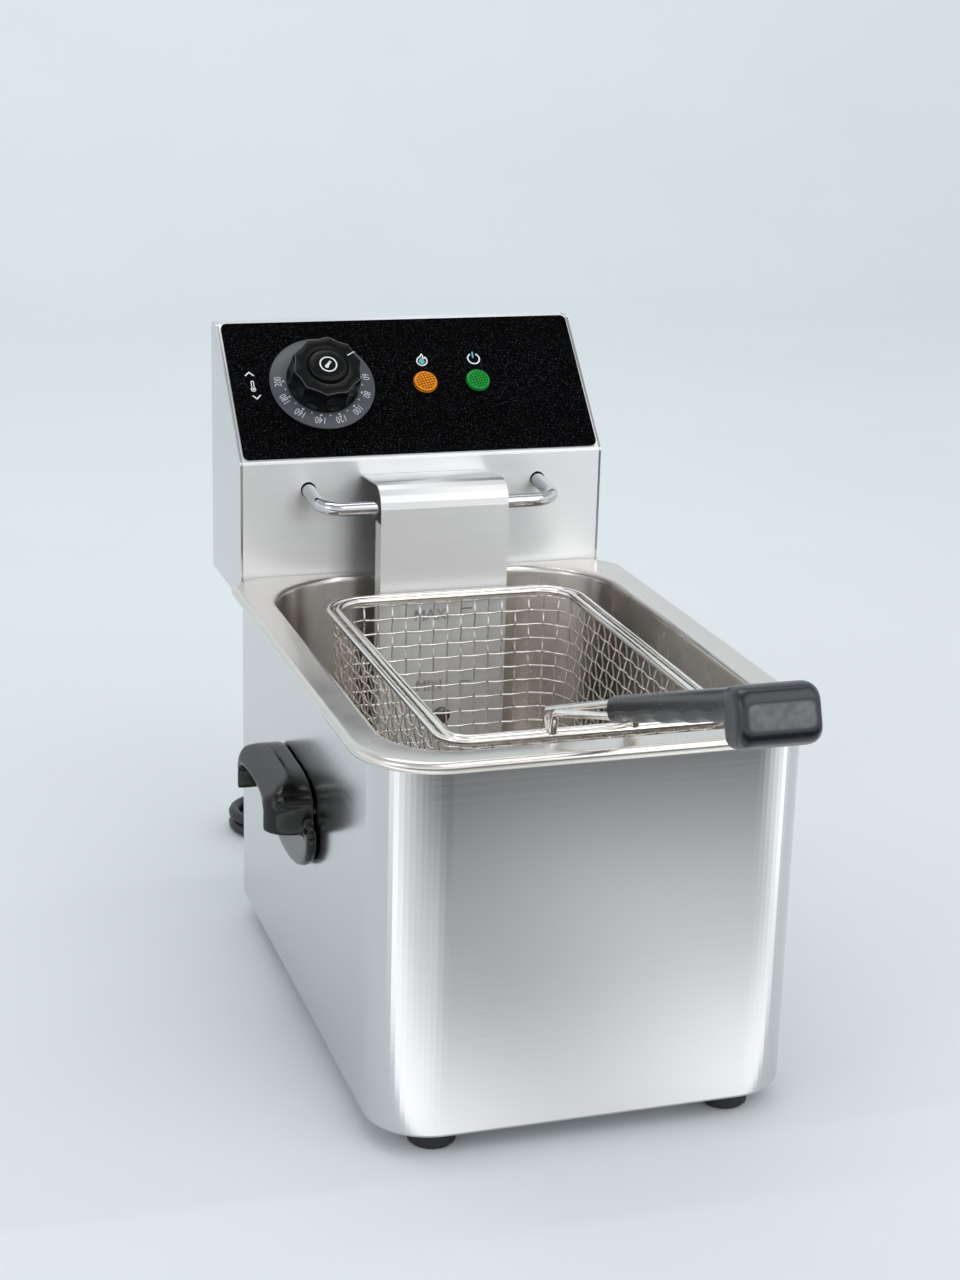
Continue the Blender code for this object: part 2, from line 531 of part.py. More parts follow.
# ---------------------------------------------------------------- heating element and bulbs
OUTER_X, LOOP_FRONT, LOOP_BACK = 62.0, 52.0, 236.0
half_loop = [(LEG_X, 338, LEG_TOP), (LEG_X, LEG_Y, LEG_TOP), (LEG_X, LEG_Y, ELEMENT_Z),
             (OUTER_X, 258, ELEMENT_Z), (OUTER_X, LOOP_FRONT, ELEMENT_Z),
             (LEG_X, LOOP_FRONT, ELEMENT_Z), (LEG_X, LOOP_BACK, ELEMENT_Z)]
whole = [(-x, y, z) for x, y, z in half_loop] + half_loop[::-1]
rod("heating_element", [at(*p) for p in bend(whole, 15, 3)], ELEMENT_R, GALV)
for word, x in (("control", -8.0), ("limiter", 8.0)):
    route = bend([(x, 282.0, 96), (x, 282.0, 97), (x, 282.0, 166), (x, 282.0, 167.5),
                  (x, 282.0, 170), (x, 282.0, LEG_TOP), (x, 335, LEG_TOP)], 8, 4)
    sizes = [1.0 if p.z < 166.1 and p.z > 96.5 else 0.34 if p.z > 166.1 else 0.8 for p in route]
    rod(word + "_bulb", [at(*p) for p in route], 2.8, COPPER, radii=sizes)
flange = prism("element_flange", rounded(-34, 34, LEG_TOP - 13, LEG_TOP + 13, [5] * 4, 3),
               lambda x, z, y: at(x, y, z), inner + 0.1, inner + 2.1, GALV)
window = prism("cut_window", rounded(-30, 30, LEG_TOP - 9, LEG_TOP + 9, [4] * 4, 3),
               lambda x, z, y: at(x, y, z), HEAD_Y - 4, HEAD_Y + SHEET + 0.2, None)
combine(shell, window)
for x, r in ((-LEG_X, ELEMENT_R), (LEG_X, ELEMENT_R), (-8, 1.0), (8, 1.0)):
    hole(flange, at(x, HEAD_Y - 4, LEG_TOP), (0, 1, 0), r + 0.35, 14, "cut_flange_%d" % x)

# ---------------------------------------------------------------- head internals and rear fittings
reset_x, reset_z = RESET
limiter = box("high_limit_cutout", (reset_x - 15, 358, reset_z - 15), (reset_x + 15, 388, reset_z + 15),
              BAKELITE, 1.5)
back_inner = HEAD_BACK - SHEET
bushing = turned("reset_bushing", [(-6.5, 6.0), (-GAP, 6.0), (-GAP, 6.0), (GAP, 6.0), (GAP, 9.0),
                                   (3.2, 9.0), (4.0, 8.2)],
                 at(reset_x, HEAD_BACK, reset_z), (0, 1, 0), PLASTIC, 24)
hole(bushing, at(reset_x, HEAD_BACK - 9, reset_z), (0, 1, 0), 4.0, 16, "cut_bushing")
hole(shell, at(reset_x, HEAD_BACK - 5, reset_z), (0, 1, 0), 6.4, 10, "cut_back_reset")
turned("reset_button", [(-8.2, 3.6), (2.6, 3.6), (3.4, 2.6)], at(reset_x, HEAD_BACK, reset_z),
       (0, 1, 0), ((0.55, 0.02, 0.02), 0.35), 20)
terminal = box("terminal_block", (-30, 345, HEAD_BASE + SHEET + 2 * GAP),
               (26, 363, HEAD_BASE + SHEET + 18), ((0.75, 0.74, 0.70), 0.5), 1.0)
for k in range(3):
    hole(terminal, at(-20 + 18 * k, 354, HEAD_BASE + 14), (0, 0, 1), 3.0, 9, "cut_terminal_%d" % k)

gland_x, gland_z = GLAND
turned("strain_relief", [(-7, 6.2), (-SHEET - GAP, 6.2), (GAP, 6.2), (GAP, 9.5), (3.5, 9.5), (4.5, 8),
                         (4.6, 6.2), (13, 5.2)], at(gland_x, HEAD_BACK, gland_z), (0, 1, 0),
       PLASTIC, 20)
hole(shell, at(gland_x, HEAD_BACK - 5, gland_z), (0, 1, 0), 6.6, 10, "cut_back_gland")

# ---------------------------------------------------------------- basket
def rim_path(inset):
    """Outline of the basket, inset from the outer side of its rim."""
    low, high = RIM_FRONT + inset, RIM_REAR - inset
    half = RIM_HALF - inset
    front, rear = max(RIM_FRONT_R - inset, 2.5), max(RIM_REAR_R - inset, 2.5)
    return rounded(-half, half, low, high, [front, rear, rear, front], 5)


def wire_loop(name, inset, wire, z):
    o = rod(name, [at(x, y, z) for x, y in rim_path(inset)], wire, BRIGHT, cyclic=True)
    return o


wire_loop("basket_rim_outer", RIM_OUT_WIRE, RIM_OUT_WIRE, RIM_Z + 0.4)
mesh_inset = 2 * RIM_OUT_WIRE + GAP
in_wire_inset = mesh_inset + MESH_WALL + GAP + RIM_IN_WIRE
wire_loop("basket_rim_inner", in_wire_inset, RIM_IN_WIRE, RIM_Z)

LEAN, FLOOR_R = 5.0, 9.0                          # the mesh narrows by LEAN towards its floor


def mesh_ring(inset, z):
    lean = LEAN * (RIM_Z - z) / (RIM_Z - BASKET_FLOOR)
    return [at(x, y, z) for x, y in rim_path(mesh_inset + inset + lean)]


curve = [(FLOOR_R * (1 - math.cos(a)), BASKET_FLOOR + FLOOR_R * (1 - math.sin(a)))
         for a in (math.radians(d) for d in (90, 67, 45, 22, 0))]
outside = [(i, z) for i, z in curve] + [(0, RIM_Z - 0.4)]
inside = [(i + MESH_WALL, z + (MESH_WALL if i > 1 else 0)) for i, z in curve]
inside[0] = (FLOOR_R + 0.6, BASKET_FLOOR + MESH_WALL)
skin("basket_mesh", [mesh_ring(*p) for p in outside] + [mesh_ring(MESH_WALL, RIM_Z - 0.4)]
     + [mesh_ring(*p) for p in inside[::-1]], BRIGHT)

# handle wires: each runs from inside the rim into the grip, turns and comes back to its outside
WIRE = 2.0
IN_Y = RIM_FRONT + in_wire_inset + RIM_IN_WIRE + GAP + WIRE
OUT_Y = RIM_FRONT + RIM_OUT_WIRE                  # the outer ends stand on the outer rim wire
OUT_Z = RIM_Z + 0.4 + RIM_OUT_WIRE + GAP
grip_wires = {}
for side, word in ((-1, "left"), (1, "right")):
    deep_top = Vector((side * 5.2, *GRIP_START)) + GRIP_DIR * 26 + GRIP_UP * 3.0
    deep_low = Vector((side * 5.2, *GRIP_START)) + GRIP_DIR * 26 - GRIP_UP * 3.2
    mouth_top = Vector((side * 5.4, *GRIP_START)) + GRIP_DIR * 2 + GRIP_UP * 3.0
    mouth_low = Vector((side * 5.4, *GRIP_START)) + GRIP_DIR * 2 - GRIP_UP * 3.2
    corners = [(side * 20, IN_Y, 189), (side * 21, IN_Y + 0.6, 203.5), mouth_top, deep_top,
               deep_low, mouth_low, (side * 20.5, OUT_Y - 0.6, 206.0), (side * 21, OUT_Y, OUT_Z)]
    route = [at(*p) for p in bend(corners, 4.2, 3)]
    rod("handle_wire_" + word, route, WIRE, BRIGHT)
    grip_wires[word] = route


def grip_ring(t, half, top, low, r):
    return [on_grip(x, t, v) for x, v in rounded(-half, half, low, top, [r] * 4, 3)]


sections = [(0, 7.4, 5.0, -5.0, 3), (1.5, 8.8, 6.4, -6.4, 5)]
for k in range(1, 13):                            # four shallow finger hollows under the stem
    f = k / 13
    sections.append((1.5 + f * (STEM_LENGTH - 7), 9, 6.4 + 1.0 * f,
                     -6.6 - 0.9 * f + 0.9 * (0.5 - 0.5 * math.cos(f * 8 * math.pi)), 5))
sections += [(STEM_LENGTH - 2, 9.4, 7.5, -8.4, 5), (STEM_LENGTH + 0.5, 16.8, 7.6, -15.8, 5),
             (STEM_LENGTH + 3, 18.4, 8.2, -HAND_DROP, 5), (GRIP_LENGTH - 5, 18.4, 7.8, -HAND_DROP, 5),
             (GRIP_LENGTH - 1.5, 17.6, 5.6, -16.2, 5), (GRIP_LENGTH, 16.0, 2.4, -13.2, 5)]
handle = skin("basket_grip", [grip_ring(*s) for s in sections], SATIN)
for word, route in grip_wires.items():
    cutter = to_mesh(rod("cut_grip_" + word, route, WIRE + GAP + 0.1, None))
    combine(handle, cutter)

# ---------------------------------------------------------------- mains cord, laid behind the fryer
floor = -FOOT_H
hank_ring = [arc(HANK["right"] - HANK["half"], HANK["y"], HANK["half"], -90, 90, 10)
             + arc(HANK["left"] + HANK["half"], HANK["y"], HANK["half"], 90, 270, 10)][0]
soften(prism("cord_hank", hank_ring, at, floor, floor + HANK["height"], RUBBER), 2.5, 2)
first, second = floor + CORD_R + 0.1, floor + 3 * CORD_R + 0.1
entry = HANK["half"] - CORD_R
route = [(gland_x, HEAD_BACK + 13 + GAP, gland_z), (gland_x + 0.5, 424, gland_z - 1.5),
         (gland_x + 3, 438, gland_z - 14), (gland_x + 8, 449, gland_z - 45), (77, 459, 100),
         (88, 466, 52), (97, 468, 18), (94, HANK["y"] + entry + 0.6, second + 3),
         (82, HANK["y"] + entry, second + 0.4), (HANK["right"] - 8.6, HANK["y"] + entry, second)]
rod("power_cord", [at(*p) for p in smooth_route(route, 8.0)], CORD_R, RUBBER)
PLUG_R, PLUG_Y = 18.0, 456.0
plug_z = floor + PLUG_R + 0.2
tail = [(HANK["right"] - 8.6, HANK["y"] - entry, first), (82, HANK["y"] - entry, first),
        (97, HANK["y"] - entry + 3, first + 1), (109, HANK["y"] - entry + 13, first + 7),
        (112, PLUG_Y - 11, plug_z - 1), (112, PLUG_Y - 2 * GAP, plug_z)]
rod("cord_tail", [at(*p) for p in smooth_route(tail, 8.0)], CORD_R, RUBBER)
plug = turned("mains_plug", [(0, 4.6), (14, 5.6), (18, 9.5), (24, 14), (30, 16.5), (36, PLUG_R - 0.4),
                             (49, PLUG_R), (50.5, PLUG_R - 1)], at(112, PLUG_Y, plug_z), (0, 1, 0),
              PLASTIC, 28)
for k in (-1, 1):
    pin = turned("join_pin_%d" % k, [(46, 2.4), (67.5, 2.4), (69, 1.4)],
                 at(112 + 9.5 * k, PLUG_Y, plug_z), (0, 1, 0), None, 12)
    combine(plug, pin, "UNION")
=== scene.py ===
"""Looks of the counter-top deep fryer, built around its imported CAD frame.

Drawing dimensions are millimetres: x to the right, y back from the housing's front face,
z up from the housing's lower edge. at() turns such a point into the frame's metres.
"""
import math

import bmesh
import bpy
import numpy as np
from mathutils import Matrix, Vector


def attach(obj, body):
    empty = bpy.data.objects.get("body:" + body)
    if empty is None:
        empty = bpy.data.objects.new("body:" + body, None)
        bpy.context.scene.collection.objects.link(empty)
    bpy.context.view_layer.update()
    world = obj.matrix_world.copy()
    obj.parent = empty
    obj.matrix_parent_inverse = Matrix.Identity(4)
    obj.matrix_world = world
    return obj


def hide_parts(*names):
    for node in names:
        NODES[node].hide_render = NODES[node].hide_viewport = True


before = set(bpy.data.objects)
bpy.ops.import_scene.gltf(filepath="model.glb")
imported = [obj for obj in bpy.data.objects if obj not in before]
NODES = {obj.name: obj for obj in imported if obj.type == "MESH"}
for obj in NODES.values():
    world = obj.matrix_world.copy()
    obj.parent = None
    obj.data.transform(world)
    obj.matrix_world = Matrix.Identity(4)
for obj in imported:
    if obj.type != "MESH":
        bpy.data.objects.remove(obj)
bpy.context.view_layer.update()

Y_MID = 110.2360                 # the frame's y origin, back from the housing's front face
FOOT_H = 11.0


def at(x, y, z):
    return Vector((x, y - Y_MID, z + FOOT_H)) / 1000


# ---------------------------------------------------------------- camera
cam = bpy.data.objects.new("camera", bpy.data.cameras.new("camera"))
bpy.context.scene.collection.objects.link(cam)
cam.location = at(-374.53, -948.97, 561.73)
cam.rotation_euler = (1.26979, -0.02533, -0.30632)
cam.data.lens = 64.756
cam.data.sensor_width = 36
bpy.context.scene.camera = cam
bpy.context.scene.view_settings.view_transform = "Standard"


# ---------------------------------------------------------------- helpers
def link(name, data, material=None):
    """A new object in the scene."""
    o = bpy.data.objects.new(name, data)
    bpy.context.scene.collection.objects.link(o)
    if material:
        data.materials.append(material)
    return o


def mesh(name, verts, faces, material, sharp=35):
    """A smooth-shaded mesh with its edges kept sharp above an angle in degrees."""
    me = bpy.data.meshes.new(name)
    me.from_pydata([tuple(v) for v in verts], [], faces)
    me.validate()
    me.shade_smooth()
    me.set_sharp_from_angle(angle=math.radians(sharp))
    return link(name, me, material)


def skin(name, rings, material, closed=False, sharp=35):
    """Join rings of equal length: capped ends, or a closed loop of rings."""
    n = len(rings[0])
    verts = [p for ring in rings for p in ring]
    rows = list(range(len(rings)))
    pairs = list(zip(rows, rows[1:])) + ([(rows[-1], 0)] if closed else [])
    faces = [(a * n + i, a * n + (i + 1) % n, b * n + (i + 1) % n, b * n + i)
             for a, b in pairs for i in range(n)]
    if not closed:
        faces += [tuple(range(n))[::-1], tuple(range((len(rings) - 1) * n, len(rings) * n))]
    o = mesh(name, verts, faces, material, sharp)
    face_out(o)
    return o


def face_out(o):
    """Turn every face of a closed mesh outward."""
    bm = bmesh.new()
    bm.from_mesh(o.data)
    bmesh.ops.recalc_face_normals(bm, faces=bm.faces)
    bm.to_mesh(o.data)
    bm.free()


def arc(cx, cy, r, a0, a1, steps):
    """Points of an arc between two angles in degrees."""
    turns = [math.radians(a0 + (a1 - a0) * i / steps) for i in range(steps + 1)]
    return [(cx + r * math.cos(a), cy + r * math.sin(a)) for a in turns]


def rounded(x0, x1, y0, y1, radii, steps=5):
    """Outline of a rectangle with its own radius at each corner, anticlockwise from x1, y0."""
    signs = ((x1, y0, -1, 1, -90), (x1, y1, -1, -1, 0), (x0, y1, 1, -1, 90), (x0, y0, 1, 1, 180))
    points = []
    for (x, y, sx, sy, start), r in zip(signs, radii):
        points += arc(x + sx * r, y + sy * r, r, start, start + 90, steps)
    return points


def prism(name, outline, place, low, high, material, sharp=35):
    """An outline raised between two heights of a placing function."""
    return skin(name, [[place(u, v, w) for u, v in outline] for w in (low, high)], material,
                sharp=sharp)


def turned(name, profile, start, direction, material, steps=64, sharp=35):
    """A solid of revolution: profile is (distance along the axis, radius)."""
    w = Vector(direction).normalized()
    u = w.orthogonal().normalized()
    v = w.cross(u)
    rings = [[start + w * along / 1000 + (u * math.cos(a) + v * math.sin(a)) * r / 1000
              for a in (2 * math.pi * i / steps for i in range(steps))] for along, r in profile]
    return skin(name, rings, material, sharp=sharp)


NEARLY_STRAIGHT = 1.55                            # half the angle at a corner, radians


def bend(points, r, steps=8):
    """Round the corners of a polyline with radius r."""
    pts = [Vector(p) for p in points]
    out = [pts[0]]
    for a, p, b in zip(pts, pts[1:], pts[2:]):
        u, v = (a - p).normalized(), (b - p).normalized()
        half = u.angle(v) / 2
        if half > NEARLY_STRAIGHT:
            out.append(p)
            continue
        cut = min(r / math.tan(half), (a - p).length * 0.49, (b - p).length * 0.49)
        rr = cut * math.tan(half)
        mid = p + (u + v).normalized() * (rr / math.sin(half))
        s, e = p + u * cut - mid, p + v * cut - mid
        sweep = s.angle(e)
        for k in range(steps + 1):
            f = k / steps
            out.append(mid + (s * math.sin((1 - f) * sweep) + e * math.sin(f * sweep))
                       / math.sin(sweep))
    return out + [pts[-1]]


def smooth_route(points, step):
    """A smooth curve through the points, read off at even steps (Catmull-Rom)."""
    pts = [Vector(p) for p in points]
    pts = [2 * pts[0] - pts[1]] + pts + [2 * pts[-1] - pts[-2]]
    fine = []
    cuts = 20                                     # points taken in each span
    for a, b, c, d in zip(pts, pts[1:], pts[2:], pts[3:]):
        for k in range(cuts):
            t = k / cuts
            fine.append(0.5 * (2 * b + (c - a) * t + (2 * a - 5 * b + 4 * c - d) * t ** 2
                               + (3 * b - a - 3 * c + d) * t ** 3))
    fine.append(pts[-2])
    total = sum((b - a).length for a, b in zip(fine, fine[1:]))
    count = max(round(total / step), 2)
    out, run, goal = [fine[0]], 0.0, total / count
    for a, b in zip(fine, fine[1:]):
        seg = (b - a).length
        while seg > 0 and run + seg >= goal * len(out) and len(out) < count:
            out.append(a.lerp(b, (goal * len(out) - run) / seg))
        run += seg
    return out + [fine[-1]]


def wire(name, points, r, material, cyclic=False, resolution=5):
    """A round wire along points given in metres."""
    cu = bpy.data.curves.new(name, "CURVE")
    cu.dimensions = "3D"
    cu.bevel_depth = r / 1000
    cu.bevel_resolution = resolution
    cu.use_fill_caps = True
    sp = cu.splines.new("POLY")
    sp.points.add(len(points) - 1)
    for q, p in zip(sp.points, points):
        q.co = (*p, 1)
    sp.use_cyclic_u = cyclic
    return link(name, cu, material)


def tubes(name, paths, r, material, sides=6):
    """Many thin wires as one mesh: paths are (points in mm drawing units, cyclic)."""
    verts, faces = [], []
    ring = np.array([(math.cos(a), math.sin(a)) for a in
                     (2 * math.pi * i / sides for i in range(sides))]) * r
    for points, cyclic in paths:
        p = np.array(points, float)
        t = np.roll(p, -1, 0) - np.roll(p, 1, 0) if cyclic else np.gradient(p, axis=0)
        t /= np.linalg.norm(t, axis=1)[:, None]
        base = len(verts)
        u = np.array((0.12, 0.21, 1.0)) if abs(t[0][2]) < 0.8 else np.array((1.0, 0.3, 0.1))
        for q, d in zip(p, t):
            u = u - d * u.dot(d)
            u /= np.linalg.norm(u)
            v = np.cross(d, u)
            verts += [at(*(q + u * c + v * s)) for c, s in ring]
        n = len(p)
        for k in range(n if cyclic else n - 1):
            a, b = base + k * sides, base + (k + 1) % n * sides
            faces += [(a + i, a + (i + 1) % sides, b + (i + 1) % sides, b + i)
                      for i in range(sides)]
        if not cyclic:
            faces += [tuple(range(base + sides - 1, base - 1, -1)),
                      tuple(range(base + (n - 1) * sides, base + n * sides))]
    return mesh(name, verts, faces, material, 60)


# ---------------------------------------------------------------- materials
def material(name, colour, rough, metal=0.0, grain=(1, 1, 1), spread=0.0, tint=0.0, bump=0.0,
             depth=0.1, detail=3.0, **sockets):
    """Principled material whose roughness, colour and relief vary with stretched noise.

    grain is the noise's frequency along x, y and z per metre; depth is the relief in mm."""
    m = bpy.data.materials.new(name)
    m.use_nodes = True
    nt = m.node_tree
    b = nt.nodes["Principled BSDF"]
    b.inputs["Metallic"].default_value = metal
    b.inputs["Base Color"].default_value = (*colour, 1)
    b.inputs["Roughness"].default_value = rough
    for key, value in sockets.items():
        b.inputs[key.replace("_", " ")].default_value = value
    co = nt.nodes.new("ShaderNodeTexCoord")
    mp = nt.nodes.new("ShaderNodeMapping")
    mp.inputs["Scale"].default_value = grain
    no = nt.nodes.new("ShaderNodeTexNoise")
    no.inputs["Scale"].default_value = 1.0
    no.inputs["Detail"].default_value = detail
    nt.links.new(co.outputs["Object"], mp.inputs["Vector"])
    nt.links.new(mp.outputs["Vector"], no.inputs["Vector"])
    if spread:
        mr = nt.nodes.new("ShaderNodeMapRange")
        mr.inputs["From Min"].default_value = 0.3
        mr.inputs["From Max"].default_value = 0.7
        mr.inputs["To Min"].default_value = rough - spread
        mr.inputs["To Max"].default_value = rough + spread
        nt.links.new(no.outputs["Fac"], mr.inputs["Value"])
        nt.links.new(mr.outputs["Result"], b.inputs["Roughness"])
    if tint:
        ramp = nt.nodes.new("ShaderNodeValToRGB")
        ramp.color_ramp.elements[0].position = 0.3
        ramp.color_ramp.elements[1].position = 0.7
        ramp.color_ramp.elements[0].color = (*(c * (1 - tint) for c in colour), 1)
        ramp.color_ramp.elements[1].color = (*(min(c * (1 + tint), 1) for c in colour), 1)
        nt.links.new(no.outputs["Fac"], ramp.inputs["Fac"])
        nt.links.new(ramp.outputs["Color"], b.inputs["Base Color"])
    if bump:
        bp = nt.nodes.new("ShaderNodeBump")
        bp.inputs["Strength"].default_value = bump
        bp.inputs["Distance"].default_value = depth / 1000
        nt.links.new(no.outputs["Fac"], bp.inputs["Height"])
        nt.links.new(bp.outputs["Normal"], b.inputs["Normal"])
    return m


def brushed(name, colour, rough, spread_out=0.75):
    """Brushed sheet: fine level streaks, and a gloss that is drawn out across them."""
    m = material(name, colour, rough, 1.0, grain=(8, 8, 2300), spread=0.025, tint=0.02, bump=0.02,
                 depth=0.05, detail=4.0, Anisotropic=spread_out, Anisotropic_Rotation=0.25)
    nt = m.node_tree
    tangent = nt.nodes.new("ShaderNodeTangent")
    tangent.direction_type = "RADIAL"
    tangent.axis = "Z"
    nt.links.new(tangent.outputs["Tangent"], nt.nodes["Principled BSDF"].inputs["Tangent"])
    return m


STEEL = brushed("steel_brushed", (0.66, 0.665, 0.67), 0.19, 0.55)
HEAD = brushed("steel_head", (0.82, 0.83, 0.84), 0.44)
COVER = brushed("steel_cover", (0.83, 0.835, 0.84), 0.43)
RIMMED = material("steel_drawn", (0.76, 0.725, 0.685), 0.25, 1.0, grain=(60, 60, 60), spread=0.03,
                  tint=0.02, bump=0.05, depth=0.3, detail=2)
CHROME = material("chrome_bar", (0.58, 0.58, 0.60), 0.05, 1.0, grain=(200, 200, 200), spread=0.02)
SCREW = material("screw_dark", (0.16, 0.15, 0.145), 0.22, 1.0, grain=(200, 200, 200), spread=0.04)
# Raised marks on the cover, coloured darker than its steel: painted shade of their relief.
MARK_PAINTED_SHADE = material("pressed_mark_painted_shade", (0.56, 0.565, 0.58), 0.34, 1.0, grain=(300, 300, 300), spread=0.05)
WIRE = material("nickel_wire", (0.90, 0.865, 0.82), 0.13, 1.0, grain=(300, 300, 300), spread=0.05,
                tint=0.06)
ZINC = material("zinc_plate", (0.50, 0.51, 0.53), 0.35, 1.0, grain=(400, 400, 400), spread=0.08,
                tint=0.08)
SHEATH = material("element_sheath", (0.30, 0.285, 0.27), 0.38, 1.0, grain=(150, 150, 150),
                  spread=0.08, tint=0.15)
COPPER = material("copper_bulb", (0.72, 0.42, 0.28), 0.3, 1.0, grain=(150, 150, 150), spread=0.06,
                  tint=0.1)
GLOSS = material("gloss_black", (0.0025, 0.0027, 0.003), 0.11, grain=(90, 90, 90), spread=0.02,
                 Specular_IOR_Level=0.4)
KNOB = material("knob_black", (0.004, 0.0045, 0.005), 0.20, grain=(300, 300, 300), spread=0.05,
                bump=0.05, depth=0.1, Specular_IOR_Level=0.16)
# Light grey for the thin ring round the knob's top edge: a painted highlight on the black knob.
KNOB_PAINTED_HIGHLIGHT = material("knob_rim_painted_highlight", (0.20, 0.205, 0.215), 0.30, grain=(300, 300, 300),
                     spread=0.05)
DIAL = material("dial_grey", (0.052, 0.056, 0.068), 0.36, grain=(900, 900, 900), spread=0.06,
                tint=0.08, bump=0.08, depth=0.05)
GRIP = material("grip_satin", (0.007, 0.010, 0.016), 0.25, grain=(300, 300, 300), spread=0.03,
                tint=0.05, Specular_IOR_Level=0.7)
RUBBER = material("foot_rubber", (0.012, 0.012, 0.012), 0.6, grain=(700, 700, 700), spread=0.1,
                  tint=0.15, bump=0.2, depth=0.1)
CORD = material("cord_sheath", (0.012, 0.012, 0.013), 0.42, grain=(500, 500, 500), spread=0.06,
                tint=0.1, bump=0.1, depth=0.05)
FASCIA = material("fascia_film", (0.0018, 0.0019, 0.0024), 0.42, grain=(1400, 1400, 1400),
                  spread=0.15, bump=0.4, depth=0.12, detail=1.5, Specular_IOR_Level=0.01)
film = FASCIA.node_tree                           # fine bright flakes in the film
spark = film.nodes.new("ShaderNodeTexNoise")
spark.inputs["Scale"].default_value = 1500.0
spark.inputs["Detail"].default_value = 1.0
flake = film.nodes.new("ShaderNodeValToRGB")
flake.color_ramp.elements[0].position = 0.62
flake.color_ramp.elements[0].color = (0.0010, 0.0011, 0.0014, 1)
flake.color_ramp.elements[1].position = 0.72
flake.color_ramp.elements[1].color = (0.045, 0.050, 0.054, 1)
film.links.new(film.nodes["Texture Coordinate"].outputs["Object"], spark.inputs["Vector"])
film.links.new(spark.outputs["Fac"], flake.inputs["Fac"])
film.links.new(flake.outputs["Color"], film.nodes["Principled BSDF"].inputs["Base Color"])
BAKELITE = material("bakelite", (0.10, 0.055, 0.035), 0.5, grain=(300, 300, 300), spread=0.1,
                    tint=0.2)
CERAMIC = material("terminal_white", (0.72, 0.70, 0.66), 0.5, grain=(300, 300, 300), spread=0.1,
                   tint=0.05)
RED = material("reset_red", (0.50, 0.02, 0.02), 0.3, grain=(300, 300, 300), spread=0.05, tint=0.05)
PRINT = material("print_white", (0.82, 0.84, 0.84), 0.5, grain=(2500, 2500, 2500), tint=0.06,
                 spread=0.05)
PRINT_TEAL = material("print_teal", (0.10, 0.42, 0.50), 0.5, grain=(2500, 2500, 2500), tint=0.08,
                      spread=0.05)
DIAL_PRINT = material("dial_print", (0.55, 0.57, 0.62), 0.5, grain=(2500, 2500, 2500), tint=0.06,
                      spread=0.05)
PLUG_MAT = material("plug_black", (0.014, 0.014, 0.015), 0.4, grain=(900, 900, 900), spread=0.08,
                    tint=0.1, bump=0.15, depth=0.05)
LENS = dict(grain=(700, 700, 700), tint=0.15, spread=0.03, Coat_Weight=0.08,
            Specular_IOR_Level=0.12)
AMBER = material("lens_amber", (0.74, 0.25, 0.004), 0.14, **LENS)
# Darker amber and green for the lenses' grooves and outer edge: painted shade.
AMBER_SHADE = material("lens_amber_painted_shade", (0.20, 0.045, 0.002), 0.16, **LENS)
GREEN = material("lens_green", (0.006, 0.27, 0.035), 0.14, **LENS)
GREEN_SHADE = material("lens_green_painted_shade", (0.002, 0.085, 0.010), 0.16, **LENS)
LENS_PAINTED_GLOW = 0.06                                  # painted glow: the unlit lenses give off a little light, standing for what the lamps' depth sends back
# A faint emission in each lens colour: painted glow.
for m, colour in ((AMBER, (1.0, 0.36, 0.0)), (GREEN, (0.0, 0.75, 0.12))):
    b = m.node_tree.nodes["Principled BSDF"]
    b.inputs["Emission Color"].default_value = (*colour, 1)
    b.inputs["Emission Strength"].default_value = LENS_PAINTED_GLOW

LOOKS = {
    HEAD: "head_shell",
    STEEL: "outer_housing bottom_plate head_bracket head_side_left head_side_right "
           "head_base bracket_rivet_left bracket_rivet_right",
    COVER: "element_cover", RIMMED: "oil_pan", CHROME: "hanging_bar", SCREW: "cover_screw",
    WIRE: "basket_rim_outer basket_rim_inner basket_mesh handle_wire_left handle_wire_right",
    ZINC: "bar_nut_left bar_nut_right bulb_clip element_flange thermostat_shaft "
          "handle_screw_left_front handle_screw_left_rear handle_screw_right_front "
          "handle_screw_right_rear",
    SHEATH: "heating_element", COPPER: "control_bulb limiter_bulb",
    GLOSS: "side_handle_left side_handle_right reset_bushing",
    KNOB: "knob_grip knob_cap", DIAL: "dial_ring", GRIP: "basket_grip",
    RUBBER: "foot_front_left foot_front_right foot_rear_left foot_rear_right",
    CORD: "power_cord cord_tail cord_hank", FASCIA: "fascia_panel",
    BAKELITE: "thermostat_body high_limit_cutout lamp_body_heating lamp_body_power",
    CERAMIC: "terminal_block", RED: "reset_button", PLUG_MAT: "strain_relief mains_plug",
    AMBER: "lamp_lens_heating", GREEN: "lamp_lens_power",
}
for look, names in LOOKS.items():
    for n in names.split():
        data = NODES[n].data
        data.materials.clear()
        data.materials.append(look)


def piece(o, body, *nodes, slot=None):
    """Ride on a body, and stand for the nodes."""
    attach(o, body)
    if nodes:
        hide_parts(*nodes)
    return o


# ---------------------------------------------------------------- mains cord and its hank
CORD_R, FLOOR = 3.6, -FOOT_H
FIRST, SECOND = FLOOR + CORD_R + 0.06, FLOOR + 3 * CORD_R + 0.2    # heights of the two layers
HANK_L, HANK_R, HANK_Y = -65.5, 49.0, 442.0       # centres of the hank's two ends
OUTER, INNER = 23.4, 15.8                         # radii of the outer and the inner turn
TIE_MID = 7.2                                     # height of the tie's middle above the floor


def lerp(a, b, f):
    return a + (b - a) * f


def end_turn(cx, start, stop, r0, r1, z, steps=12):
    """Points round one end of the hank, from angle start to stop, degrees."""
    return [(cx + lerp(r0, r1, f) * math.cos(math.radians(lerp(start, stop, f))),
             HANK_Y + lerp(r0, r1, f) * math.sin(math.radians(lerp(start, stop, f))), z)
            for f in (k / steps for k in range(steps + 1))]


